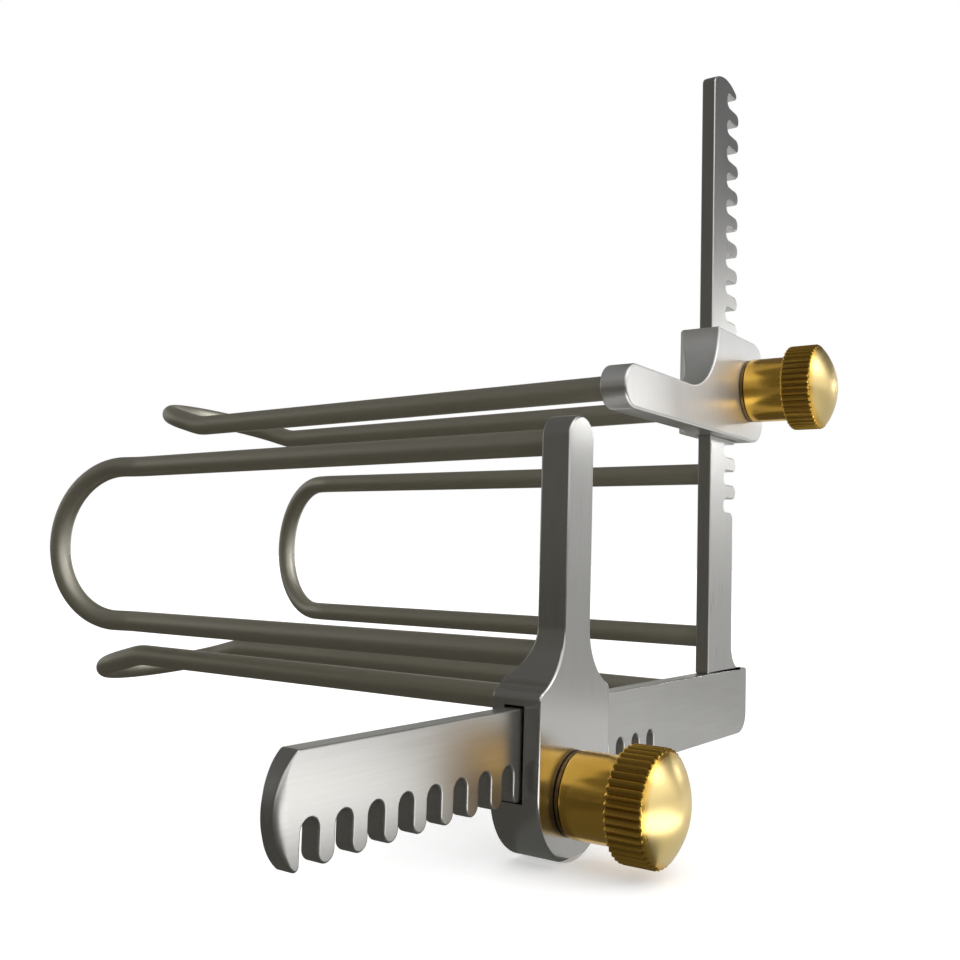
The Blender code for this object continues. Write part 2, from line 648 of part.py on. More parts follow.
def guide(name, place, parent=None):
    """An empty that carries the pieces of one moving body."""
    carrier = bpy.data.objects.new(name, None)
    carrier.empty_display_size = 5.0 * MM
    carrier.hide_render = True
    PARTS.objects.link(carrier)
    carrier.parent = parent
    carrier.location = place
    return carrier


def carry(carrier, *pieces):
    """Hang pieces, and their cutters, on the guide that they are drawn about."""
    for piece in pieces:
        piece.parent = carrier
        for modifier in piece.modifiers:
            if modifier.type == "BOOLEAN":
                modifier.object.parent = carrier


def pinion_set(side, carrier, axis_place, angle):
    """The knob, pinion, bush, washer and ring of one carriage."""
    axis = guide(side + "_knob_axis", axis_place, carrier)
    carry(axis, bush(side + "_bush"), thrust_washer(side + "_thrust_washer"),
          pinion_shaft(side + "_pinion_shaft", angle), pinion_cheek(side + "_pinion_cheek", angle),
          pinion_pin(side + "_pinion_pin_1", angle),
          pinion_pin(side + "_pinion_pin_2", angle + math.pi),
          retaining_ring(side + "_retaining_ring"), knob(side + "_knob"))


def fixed_frame():
    """The two racks and the two blades that are brazed to them."""
    level_rack()
    upright_rack()
    root = BAR_THICKNESS + BRAZE_GAP
    blade("right_blade", loop_path(SIDE_BLADE_WIDTH, root),
          lambda across, along, out: (out - RIGHT_BLADE_SHIFT, along, SIDE_BLADE_HEIGHT + across))
    near_wire = -LEFT_CARRIAGE_PLACE + HALF_CARRIAGE + LOWER_BLADE_CLEARANCE + WIRE_RADIUS
    middle = near_wire + LEVEL_BLADE_WIDTH / 2
    height = HALF_BAR - WIRE_RADIUS
    lean = math.tan(LOWER_BLADE_LEAN)
    blade("lower_blade", loop_path(LEVEL_BLADE_WIDTH, root),
          lambda across, along, out: (middle - across - lean * along, along, height - out))


def left_slide():
    """The left carriage with its blade, knob and pinion."""
    carrier = guide("left_slide", (-LEFT_CARRIAGE_PLACE, 0.0, 0.0))
    loop = blade("left_blade", loop_path(SIDE_BLADE_WIDTH, SOCKET_END + BRAZE_GAP),
                 lambda across, along, out: (-out, along, SIDE_BLADE_HEIGHT + across))
    carry(carrier, left_carriage(), loop)
    to_slot = FIRST_SLOT_X + LEFT_CARRIAGE_PLACE
    pinion_set("left", carrier, (0.0, 0.0, LOWER_TIPS), math.pi * to_slot / PITCH)


def upper_slide():
    """The upper carriage with its blade, knob and pinion."""
    carrier = guide("upper_slide", (0.0, 0.0, UPPER_CARRIAGE_PLACE))
    middle = -UPPER_ARM_END + HALF_ARM + LEVEL_BLADE_WIDTH / 2
    height = -HALF_CARRIAGE + HALF_ARM
    loop = blade("upper_blade", loop_path(LEVEL_BLADE_WIDTH, SOCKET_END + BRAZE_GAP),
                 lambda across, along, out: (middle - across, along, height + out))
    carry(carrier, upper_carriage(), loop)
    to_slot = FIRST_SLOT_Z - UPPER_CARRIAGE_PLACE
    pinion_set("upper", carrier, (OUTER_TIPS, 0.0, 0.0),
               -math.pi / 2 + math.pi * to_slot / PITCH)


fixed_frame()
left_slide()
upper_slide()
bpy.context.view_layer.update()
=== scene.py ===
"""Looks of a wire-blade vaginal speculum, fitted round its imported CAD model.

Metres, +Z up. The origin lies on the front face of the frame, where the
centre lines of the two rack bars cross, +X is the operator's right and the
knobs face -Y. Sizes are written in millimetres and scaled when a mesh is made.
"""
import math

import bpy
import numpy as np
from mathutils import Matrix, Vector

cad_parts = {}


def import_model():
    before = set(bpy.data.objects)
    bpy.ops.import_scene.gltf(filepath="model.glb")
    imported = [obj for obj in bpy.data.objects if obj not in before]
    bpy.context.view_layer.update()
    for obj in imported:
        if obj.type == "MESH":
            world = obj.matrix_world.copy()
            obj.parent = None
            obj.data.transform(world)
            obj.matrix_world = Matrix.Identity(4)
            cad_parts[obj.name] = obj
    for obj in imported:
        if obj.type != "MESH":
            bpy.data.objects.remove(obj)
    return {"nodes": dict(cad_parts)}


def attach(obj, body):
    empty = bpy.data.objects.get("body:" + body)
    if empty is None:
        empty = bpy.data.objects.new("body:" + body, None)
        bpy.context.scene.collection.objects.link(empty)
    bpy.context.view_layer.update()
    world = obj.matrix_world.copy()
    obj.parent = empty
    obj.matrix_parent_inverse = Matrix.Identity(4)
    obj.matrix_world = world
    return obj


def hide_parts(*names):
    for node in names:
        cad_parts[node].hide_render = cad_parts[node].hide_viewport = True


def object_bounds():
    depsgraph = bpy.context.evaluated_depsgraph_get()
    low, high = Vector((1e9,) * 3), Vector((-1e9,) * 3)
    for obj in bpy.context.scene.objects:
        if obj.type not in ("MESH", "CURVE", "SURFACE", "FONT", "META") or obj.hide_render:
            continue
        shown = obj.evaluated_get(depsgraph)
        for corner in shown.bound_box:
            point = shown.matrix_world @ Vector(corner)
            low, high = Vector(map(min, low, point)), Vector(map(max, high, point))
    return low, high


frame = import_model()
CAD_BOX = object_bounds()
NODES = frame["nodes"]
MM = 0.001

# Camera fitted to the photograph, in pixels of a 960 by 960 picture, mm and degrees
PICTURE = 960
FOCAL_LENGTH = 1068.0
OPTICAL_CENTRE = (481.6, 472.5)
CAMERA_PLACE = (-154.69, -63.02, 21.18)
CAMERA_YAW = 55.10
CAMERA_PITCH = 4.559
CAMERA_ROLL = 1.627
SENSOR = 36.0

# Rack bars
BAR_THICKNESS = 2.1
HALF_BAR = 5.0
BAR_LEFT_END = -91.9
BAR_RIGHT_END = 10.8
BAR_END_RADIUS = 6.4
BAR_CORNER_RADIUS = 3.0
HALF_UPRIGHT = 4.45
UPRIGHT_TOP = 97.6
OUTER_TIPS = 5.45
CREST_RADIUS = 8.0
CREST_SHIFT = 0.4
UPRIGHT_CORNER = 1.2
UPRIGHT_FINGER = 0.6
FOOT_FILLET = 3.9
FOOT_GAP = 0.02
TOE_RADIUS = 0.15
PITCH = 4.28
SLOT_COUNT = 16
SLOT_RADIUS = 1.065
TOOTH_RADIUS = (PITCH - 2 * SLOT_RADIUS) / 2
LEVEL_SLOT_DEPTH = 4.15
UPRIGHT_SLOT_DEPTH = 4.7
FIRST_SLOT_X = BAR_LEFT_END + 4.12
FIRST_SLOT_Z = UPRIGHT_TOP - 3.13
SMALL_CORNER = 0.5
LEAST_FINGER = 0.1

# Edge roundings of the bars. On the level bar's left end the rounding is wider
# than deep, and it fades out below the top corner and above the finger's tip
BAR_ROUNDING = 0.16
TOOTH_ROUNDING = 0.24
UPRIGHT_ROUNDING = 0.22
END_ROUNDING = 0.45
END_WIDTH = 3.5
END_REACH = FIRST_SLOT_X - 1.2
TIP_MARGIN = 0.4
TIP_FADE = 2.5
CORNER_FADE = 3.0

# Wire blades
WIRE_RADIUS = 1.6
BLADE_LENGTH = 93.3
BEND_RADIUS = 10.0
TIP_LENGTH = 13.9
FLARE = math.radians(15.6)
SIDE_BLADE_WIDTH = 24.75
SIDE_BLADE_HEIGHT = 22.6
LEVEL_BLADE_WIDTH = 21.5
RIGHT_BLADE_SHIFT = 0.6
LOWER_BLADE_CLEARANCE = 0.5
BLADE_LEANS = {"left": (1.6, -0.5), "right": (-0.2, -0.2), "upper": (0.56, -0.76),
               "lower": (-4.0, 0.49)}

# How deep a wire's end sits in its bar or arm, and the solder round it
BAR_SEAT = 0.3
ARM_SEAT = 1.0
SOLDER_SIZE = 0.7
SOLDER_SINK = 0.02
SOLDER_OVERLAP = 0.05

# Carriages
HALF_CARRIAGE = 7.9
CARRIAGE_FRONT = -2.29
CARRIAGE_BACK = 4.08
BLOCK_CORNER = 4.1
BAR_CLEARANCE = 0.25
WAY_FRONT = -BAR_CLEARANCE
WAY_BACK = BAR_THICKNESS + BAR_CLEARANCE
LEFT_PLACE = -47.45
LEFT_BLOCK_TOP = 6.6
LEFT_BLOCK_LOW = -12.5
LEFT_ARM_TOP = 38.0
UPPER_PLACE = 48.4
UPPER_BLOCK_LEFT = -7.2
UPPER_BLOCK_RIGHT = 11.2
UPPER_ARM_END = -36.85
HALF_ARM = 2.9
ARM_BACK = 1.51
ARM_FILLET = 7.5
FILLET_REACH = math.sqrt(ARM_FILLET ** 2 - (ARM_FILLET - (CARRIAGE_BACK - ARM_BACK)) ** 2)
UPPER_ARM_FILLET = 10.0
UPPER_FILLET_OVERLAP = 0.3
UPPER_LEFT_CORNER = 0.6
SHOULDER = 1.1
CARRIAGE_ROUNDING = 0.35
POCKET_RADIUS = 3.2
POCKET_MARGIN = 0.3
WALL_STEPS = 60

# Knobs and washers, depths along Y
WASHER_BACK = -2.39
WASHER_FRONT = -2.79
WASHER_RADIUS = 4.8
WASHER_HOLE = 1.8
WASHER_EDGE = 0.08
SLEEVE_RADIUS = 4.9
SLEEVE_BACK = -2.89
SLEEVE_EDGE = 0.25
SLEEVE_FILLET = 0.2
SHAFT_SIDE = 1.7
HEAD_BACK = -9.09
HEAD_FRONT = -13.49
HEAD_RADIUS = 6.4
HEAD_BACK_EDGE = 0.3
CROWN_EDGE = 0.45
DOME_HEIGHT = 2.0
KNURL_COUNT = 44
KNURL_DEPTH = 0.32
KNURL_POWER = 0.75
KNURL_STEEPEST = 30.0
KNURL_FADE_POWER = 0.8

# The gold's masks: depths between which the rim fades in from its two ends and
# the dome from its edge, and the knurl's cosine where a valley begins and where
# it is full; then how brown the rim, how much painted shade darkens a valley,
# how much rougher the dome. The dome's paler gold is a painted highlight
RIM_FRONT = (HEAD_FRONT - 0.1, HEAD_FRONT + 0.5)
RIM_BACK = (HEAD_BACK + 0.1, HEAD_BACK - 0.4)
DOME_FADE = (HEAD_FRONT - 0.05, HEAD_FRONT - 0.5)
VALLEY_WAVE = (0.4, -0.9)
RIM_BROWN = 0.45
VALLEY_PAINTED_SHADE = 0.6
DOME_ROUGHER = 0.12

# Slow clouds in the steel, per metre, and their share beside the scratches
STEEL_CLOUDS = (90.0, 90.0, 90.0)
CLOUD_SHARE = 0.35

# The studio round the object: a floor just under it, cards just above the floor. The cards glow as
# painted light and shade that only the metal's reflections show, and they are no lamps
GROUND = CAD_BOX[0][2] / MM
FLOOR_GAP = 0.05
FLOOR_REACH = 6000.0
FLOOR_GLOW = 0.32
CARD_GAP = 0.6
ROOM_SIDE = 2400
ROOM_BACK = 2900
ROOM_TOP = 1500

# Meshes: corners nearer than a weld share a vertex, and the shift keeps round
# numbers off a border between two steps of it. The map of a flat part leans
# with the depth, so that no face is a line in it
WELD = 2e-4
WELD_SHIFT = 0.371
TINY = 1e-6
MAP_LEAN = 0.05


# Surfaces worked out as whole arrays

def spread(points):
    """Map of a flat part: (x + y, z + a little of y), so that U runs level on every face."""
    x, y, z = points[..., 0], points[..., 1], points[..., 2]
    return np.stack([x + y, z + MAP_LEAN * y], -1)


class Shell:
    """Patches of surface that are welded into one mesh.

    Each patch is a grid of points with the outward direction at each point.
    Corners of neighbouring patches keep their own directions, so a crease
    stays crisp where the patches say so.
    """

    def __init__(self):
        self.quads, self.directions, self.maps, self.plates = [], [], [], []

    def patch(self, points, outward, keep=None, flat=None):
        """Four corners per cell of the grid, turned round to face outwards.

        A cell joins (i, j), (i + 1, j), (i + 1, j + 1) and (i, j + 1). The
        cross product of its diagonals is compared with the mean of the
        outward directions, and a cell that faces inwards is reversed.
        """
        if flat is None:
            flat = spread(points)

        def corners(grid):
            return np.stack([grid[:-1, :-1], grid[1:, :-1], grid[1:, 1:], grid[:-1, 1:]], 2)

        quads, ways, maps = (corners(a).reshape(-1, 4, a.shape[2]) for a in (points, outward, flat))
        if keep is not None:
            chosen = keep.reshape(-1)
            quads, ways, maps = quads[chosen], ways[chosen], maps[chosen]
        facing = np.cross(quads[:, 2] - quads[:, 0], quads[:, 3] - quads[:, 1])
        inward = (facing * ways.sum(1)).sum(1) < 0.0
        for array in (quads, ways, maps):
            array[inward] = array[inward, ::-1]
        self.quads.append(quads)
        self.directions.append(ways)
        self.maps.append(maps)

    def plate(self, ring, outward):
        """One flat face inside a closed ring of points.

        Newell's sum of cross products gives the side that the ring faces.
        """
        outward = np.array(outward, float)
        if np.cross(ring, np.roll(ring, -1, 0)).sum(0) @ outward < 0.0:
            ring = ring[::-1]
        self.plates.append((ring, np.tile(outward, (len(ring), 1))))

    def mesh(self, name):
        """The welded mesh: corners nearer than a weld's width share a vertex.

        A corner that falls on the next one is dropped, so a cell becomes a
        triangle where the grid narrows to a line.
        """
        count = sum(len(q) for q in self.quads)
        corners = [q.reshape(-1, 3) for q in self.quads] + [ring for ring, _ in self.plates]
        ways = [d.reshape(-1, 3) for d in self.directions] + [d for _, d in self.plates]
        maps = [m.reshape(-1, 2) for m in self.maps] + [spread(ring) for ring, _ in self.plates]
        corners, ways, maps = np.concatenate(corners), np.concatenate(ways), np.concatenate(maps)
        keys = np.floor(corners / WELD + WELD_SHIFT).astype(np.int64)
        _, first, shared = np.unique(keys, axis=0, return_index=True, return_inverse=True)
        shared = shared.reshape(-1)
        quads = shared[:4 * count].reshape(-1, 4)
        repeated = quads == np.roll(quads, -1, 1)
        whole = repeated.sum(1) <= 1
        kept = (~repeated & whole[:, None]).reshape(-1)
        totals = [4 - repeated.sum(1)[whole]]
        loops = [shared[:4 * count][kept]]
        ways_kept, maps_kept = [ways[:4 * count][kept]], [maps[:4 * count][kept]]
        start = 4 * count
        for ring, _ in self.plates:
            span = slice(start, start + len(ring))
            fresh = shared[span] != np.roll(shared[span], -1)
            loops.append(shared[span][fresh])
            ways_kept.append(ways[span][fresh])
            maps_kept.append(maps[span][fresh])
            totals.append(np.array([fresh.sum()]))
            start += len(ring)
        totals, loops = np.concatenate(totals), np.concatenate(loops)
        ways, maps = np.concatenate(ways_kept), np.concatenate(maps_kept)
        made = bpy.data.meshes.new(name)
        made.vertices.add(len(first))
        made.vertices.foreach_set("co", (corners[first] * MM).astype(np.float32).ravel())
        made.loops.add(len(loops))
        made.loops.foreach_set("vertex_index", loops.astype(np.int32))
        made.polygons.add(len(totals))
        starts = np.concatenate([[0], np.cumsum(totals)[:-1]])
        made.polygons.foreach_set("loop_start", starts.astype(np.int32))
        made.polygons.foreach_set("loop_total", totals.astype(np.int32))
        layer = made.uv_layers.new(name="surface")
        layer.data.foreach_set("uv", (maps * MM).astype(np.float32).ravel())
        made.update(calc_edges=True)
        made.shade_smooth()
        length = np.linalg.norm(ways, axis=1, keepdims=True)
        made.normals_split_custom_set((ways / np.maximum(length, TINY)).tolist())
        return made


def piece(name, shell, material, body, slot, *nodes):
    """A shell as a piece that rides on a body and stands for CAD nodes."""
    made = bpy.data.objects.new(name, shell.mesh(name))
    bpy.context.scene.collection.objects.link(made)
    made.data.materials.append(material)
    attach(made, body)
    if nodes:
        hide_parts(*nodes)


def turn(centre, radius, first, last, steps):
    """Rows (a, b, direction a, direction b) along an arc between two angles.

    A rising angle bulges outwards; a falling one is hollow, so its direction
    points at the centre.
    """
    angle = np.radians(np.linspace(first, last, steps + 1))
    ray = np.stack([np.cos(angle), np.sin(angle)], 1)
    return np.hstack([np.array(centre) + radius * ray, ray if last > first else -ray])


def spot(a, b, along_a, along_b):
    """One row of a chain: a point with its outward direction."""
    return np.array([[a, b, along_a, along_b]], float)


def angle_of(a, b):
    """Angle of a direction in degrees, from 0 to 360."""
    return math.degrees(math.atan2(b, a)) % 360.0


def rounded_section():
    """Inset, depth and the two parts of the direction round an edge of radius 1.

    Over a quarter turn t the inset is 1 - sin t, the depth 1 - cos t, and the
    direction turns from the face, cos t, to the rim, sin t.
    """
    t = np.linspace(0.0, math.pi / 2, 6)
    return 1 - np.sin(t), 1 - np.cos(t), np.cos(t), np.sin(t)


def closed_column(values, count):
    """A value per point of a closed chain, with the first repeated, as a column."""
    values = np.broadcast_to(np.asarray(values, float), count)
    return np.append(values, values[0])[:, None]


def slab(chain, front, back, rounding, mouth=None, width=1.0):
    """A rounded plate between two depths, from a closed chain in X and Z.

    The point at (i, j) is the chain's point i, moved inwards by the section's
    inset j, at the section's depth j. The back, the rounding and the width
    may be given per point; a width over 1 makes the rounding an ellipse, that
    many times wider on the face than it is deep. A mouth is an axis and a
    range along it, in which the rim is left open between the depths of a
    bar's way; these depths never pass behind the back.
    """
    rows = np.array((WAY_FRONT, WAY_BACK) if mouth else ())
    closed = np.vstack([chain, chain[:1]])
    back, radius, wide = (closed_column(a, len(chain)) for a in (back, rounding, width))
    inset, depth, face, rim = rounded_section()
    none = np.zeros(len(rows))
    insets = radius * wide * np.concatenate([inset, none, inset[::-1]])
    across = wide * np.concatenate([-face, none, face[::-1]])
    outwards = np.concatenate([rim, none + 1.0, rim[::-1]])
    depths = np.concatenate([front + radius * depth, np.minimum(rows, back - radius),
                             back - radius * depth[::-1]], 1)
    points = np.stack([closed[:, None, 0] - closed[:, None, 2] * insets, depths,
                       closed[:, None, 1] - closed[:, None, 3] * insets], 2)
    ways = np.stack([closed[:, None, 2] * outwards, across, closed[:, None, 3] * outwards], 2)
    ways /= np.linalg.norm(ways, axis=2, keepdims=True)
    keep = None
    if mouth:
        axis, low, high = mouth
        middle = (points[:-1, :-1] + points[1:, 1:]) / 2
        keep = ~((middle[..., axis] > low) & (middle[..., axis] < high)
                 & (middle[..., 1] > WAY_FRONT) & (middle[..., 1] < WAY_BACK))
    shell = Shell()
    shell.patch(points, ways, keep)
    shell.plate(points[:-1, 0], (0, -1, 0))
    return shell, points[:-1, -1]


def flat_plate(chain, front, back, rounding, width=1.0):
    """A rounded plate with a flat back."""
    shell, ring = slab(chain, front, back, rounding, width=width)
    shell.plate(ring, (0, 1, 0))
    return shell


def tooth_row(depth):
    """Slots and round-nosed teeth along +a, from slot 0, as one chain.

    One pitch is a hollow half circle at the slot's foot and a bulging half
    circle at the tooth's tip; it is repeated by adding whole pitches.
    """
    slot = turn((0.0, depth - SLOT_RADIUS), SLOT_RADIUS, 180, 0, 12)
    tip = turn((PITCH / 2, TOOTH_RADIUS), TOOTH_RADIUS, 180, 360, 12)
    one = np.vstack([slot, tip])
    row = np.tile(one, (SLOT_COUNT, 1, 1))
    row[:, :, 0] += PITCH * np.arange(SLOT_COUNT)[:, None]
    return row.reshape(-1, 4)[:-len(tip)]


def level_rack_chain():
    """Outline of the level bar, seen from the front and counter-clockwise."""
    end_x = BAR_LEFT_END + BAR_END_RADIUS
    reach = end_x - (FIRST_SLOT_X - SLOT_RADIUS)
    half_sum = reach - HALF_BAR + BAR_END_RADIUS
    excess = reach ** 2 + HALF_BAR ** 2 - BAR_END_RADIUS ** 2
    finger = max(math.sqrt(max(half_sum ** 2 - excess, 0.0)) - half_sum, LEAST_FINGER)
    finger_x, finger_z = FIRST_SLOT_X - SLOT_RADIUS - finger, finger - HALF_BAR
    meet = angle_of(finger_x - end_x, finger_z)
    top_z = HALF_BAR - SMALL_CORNER
    top_x = end_x - math.sqrt((BAR_END_RADIUS - SMALL_CORNER) ** 2 - top_z ** 2)
    begin = angle_of(top_x - end_x, top_z)
    row = tooth_row(LEVEL_SLOT_DEPTH) + np.array([FIRST_SLOT_X, -HALF_BAR, 0, 0])
    last_side = FIRST_SLOT_X + (SLOT_COUNT - 1) * PITCH + SLOT_RADIUS
    edge = BAR_RIGHT_END - SMALL_CORNER
    return np.vstack([
        turn((top_x, top_z), SMALL_CORNER, 90, begin, 5),
        turn((end_x, 0.0), BAR_END_RADIUS, begin, meet, 24),
        turn((finger_x, finger_z), finger, meet, 360, 8), row,
        turn((last_side + TOOTH_RADIUS, TOOTH_RADIUS - HALF_BAR), TOOTH_RADIUS, 180, 270, 6),
        turn((BAR_RIGHT_END - BAR_CORNER_RADIUS, BAR_CORNER_RADIUS - HALF_BAR),
             BAR_CORNER_RADIUS, 270, 360, 12),
        turn((edge, HALF_BAR - SMALL_CORNER), SMALL_CORNER, 0, 90, 5)])


def level_rounding(chain):
    """Edge rounding round the level bar, and how much wider than deep it is.

    It is crisp on top, softer round the teeth, and wide and shallow on the
    curved left end: there it grows with the leftward part of the direction,
    and fades towards the top corner and the first finger's tip, where the
    metal is narrow.
    """
    x, z, along_x = chain[:, 0], chain[:, 1], chain[:, 2]
    leftward = np.clip(-along_x, 0.0, 1.0) * (x < END_REACH)
    room = (np.clip((z + HALF_BAR - TIP_MARGIN) / TIP_FADE, 0.0, 1.0)
            * np.clip((HALF_BAR - SMALL_CORNER - z) / CORNER_FADE, 0.0, 1.0))
    edge = np.where(z > 0.0, BAR_ROUNDING, TOOTH_ROUNDING)
    depth = edge + (END_ROUNDING - edge) * leftward * room
    return depth, 1.0 + (END_WIDTH - 1.0) * leftward * room


def upright_rack_chain():
    """Outline of the upright bar, seen from the front and counter-clockwise."""
    crest = np.array([CREST_SHIFT, UPRIGHT_TOP - CREST_RADIUS])
    left_x = UPRIGHT_CORNER - HALF_UPRIGHT
    left_z = crest[1] + math.sqrt((CREST_RADIUS - UPRIGHT_CORNER) ** 2 - (left_x - crest[0]) ** 2)
    left_turn = angle_of(left_x - crest[0], left_z - crest[1])
    finger_z = FIRST_SLOT_Z + SLOT_RADIUS + UPRIGHT_FINGER
    finger_x = crest[0] + math.sqrt((CREST_RADIUS - UPRIGHT_FINGER) ** 2
                                    - (finger_z - crest[1]) ** 2)
    right_turn = angle_of(finger_x - crest[0], finger_z - crest[1])
    row = tooth_row(UPRIGHT_SLOT_DEPTH)[::-1]
    row = np.stack([OUTER_TIPS - row[:, 1], FIRST_SLOT_Z - row[:, 0], -row[:, 3], -row[:, 2]], 1)
    last_side = FIRST_SLOT_Z - (SLOT_COUNT - 1) * PITCH - SLOT_RADIUS
    base = HALF_BAR + FOOT_GAP
    return np.vstack([
        turn((TOE_RADIUS - HALF_UPRIGHT, base + TOE_RADIUS), TOE_RADIUS, 180, 270, 4),
        spot(HALF_UPRIGHT + FOOT_FILLET, base, 0, -1),
        turn((HALF_UPRIGHT + FOOT_FILLET, base + FOOT_FILLET), FOOT_FILLET, 268, 180, 14),
        turn((HALF_UPRIGHT - TOOTH_RADIUS, last_side - TOOTH_RADIUS), TOOTH_RADIUS, 0, 90, 6), row,
        turn((finger_x, finger_z), UPRIGHT_FINGER, -90, right_turn, 6),
        turn(crest, CREST_RADIUS, right_turn, left_turn, 20),
        turn((left_x, left_z), UPRIGHT_CORNER, left_turn, 180, 8)])


def rear_fillet(gap):
    """Depth of the arm's back and its slope, at a distance before the fillet's end.

    The depth follows a circle of the fillet's radius that leaves the arm's
    back at gap 0, until it reaches the block's back.
    """
    inside = np.clip(gap, 0.0, FILLET_REACH)
    root = np.sqrt(ARM_FILLET ** 2 - inside ** 2)
    return ARM_BACK + ARM_FILLET - root, np.where(gap < FILLET_REACH, inside / root, 0.0)


def ladder_back(shell, ring, half, slope, along):
    """Close a back that is curved one way, by rungs between the two sides.

    Rung i joins point i of the ring to the point as far from its other end,
    and its direction leans against the slope along the arm.
    """
    first, second = ring[:half], ring[half:][::-1]
    way = np.zeros((half, 3))
    way[:, 1] = 1.0
    way += slope[:half, None] * np.array(along, float)
    shell.patch(np.stack([first, second], 1), np.stack([way, way], 1))


def way_wall(shell, edges, outward, pinion):
    """A wall of a bar's way, left open over the pocket of the pinion.

    The edges are rows of two points, one at each mouth of the way. The middle
    band of the wall gets rows and columns added by straight interpolation, and
    each of its cells whose middle is within the pocket's radius of the
    pinion's line is left out.
    """
    last = len(edges) - 1
    steps = np.linalg.norm(np.diff(edges[:, 0], axis=0), axis=1)
    length = np.concatenate([[0.0], np.cumsum(steps)])
    added = np.interp(np.linspace(0.0, length[-1], WALL_STEPS), length, np.arange(last + 1))
    at = np.unique(np.round(np.concatenate([np.arange(last + 1), added]), 2))
    first = np.minimum(at.astype(int), last - 1)
    part = (at - first)[:, None, None]
    fine = edges[first] * (1 - part) + edges[first + 1] * part
    share = (POCKET_RADIUS + POCKET_MARGIN) / HALF_CARRIAGE / 2
    for rows, low, high, count in ((edges, 0.0, 0.5 - share, 2),
                                   (fine, 0.5 - share, 0.5 + share, WALL_STEPS),
                                   (edges, 0.5 + share, 1.0, 2)):
        across = np.linspace(low, high, count)[:, None]
        grid = rows[:, :1] * (1 - across) + rows[:, 1:] * across
        middle = (grid[:-1, :-1] + grid[1:, 1:]) / 2
        away = np.hypot(middle[..., 0] - pinion[0], middle[..., 2] - pinion[1])
        shell.patch(grid, np.broadcast_to(np.array(outward, float), grid.shape),
                    away > POCKET_RADIUS)


def left_carriage():
    """The block on the level bar with its arm, and the way for the bar.

    The right side is a chain of arcs from the lowest point to the arm's top,
    the left side its mirror image, and the way joins the two open mouths.
    """
    low_z = LEFT_BLOCK_LOW + HALF_CARRIAGE
    way_low, way_high = -HALF_BAR - BAR_CLEARANCE, HALF_BAR + BAR_CLEARANCE
    bend = math.degrees(math.acos(1.0 - (HALF_CARRIAGE - HALF_ARM) / ARM_FILLET))
    fillet_z = LEFT_BLOCK_TOP + ARM_FILLET * math.sin(math.radians(bend))
    reach = HALF_ARM + ARM_FILLET - HALF_CARRIAGE + SHOULDER
    shoulder_z = fillet_z - math.sqrt((ARM_FILLET + SHOULDER) ** 2 - reach ** 2)
    lean = math.degrees(math.atan2(fillet_z - shoulder_z, reach))
    mouth_angle = 360.0 + math.degrees(math.asin((way_low - low_z) / HALF_CARRIAGE))
    fillet = turn((HALF_ARM + ARM_FILLET, fillet_z), ARM_FILLET, 180 + lean, 180, 24)
    right = np.vstack([
        turn((0.0, low_z), HALF_CARRIAGE, 270, mouth_angle, 28),
        spot(HALF_CARRIAGE, low_z, 1, 0), spot(HALF_CARRIAGE, way_high, 1, 0),
        turn((HALF_CARRIAGE - SHOULDER, shoulder_z), SHOULDER, 0, lean, 8), fillet,
        turn((0.0, LEFT_ARM_TOP - HALF_ARM), HALF_ARM, 0, 90, 14)])
    left = right[::-1] * np.array([-1, 1, -1, 1])
    chain = np.vstack([right, left])
    back, slope = rear_fillet(fillet_z - chain[:, 1])
    shell, ring = slab(chain, CARRIAGE_FRONT, back, CARRIAGE_ROUNDING, (2, way_low, way_high))
    ladder_back(shell, ring, len(right), slope, (0, 0, 1))
    inside = right[(right[:, 1] > way_low - TINY) & (right[:, 1] < way_high + TINY)]
    for depth, side in ((WAY_FRONT, 1), (WAY_BACK, -1)):
        wall = np.stack([np.stack([s * inside[:, 0], np.full(len(inside), depth), inside[:, 1]], 1)
                         for s in (-1, 1)], 1)
        way_wall(shell, wall, (0, side, 0), (0.0, -HALF_BAR))
    for height, side, x in ((way_low, 1, inside[0, 0]), (way_high, -1, inside[-1, 0])):
        wall = np.array([[[-x, WAY_FRONT, height], [x, WAY_FRONT, height]],
                         [[-x, WAY_BACK, height], [x, WAY_BACK, height]]])
        way_wall(shell, wall, (0, 0, side), (0.0, -HALF_BAR))
    return shell


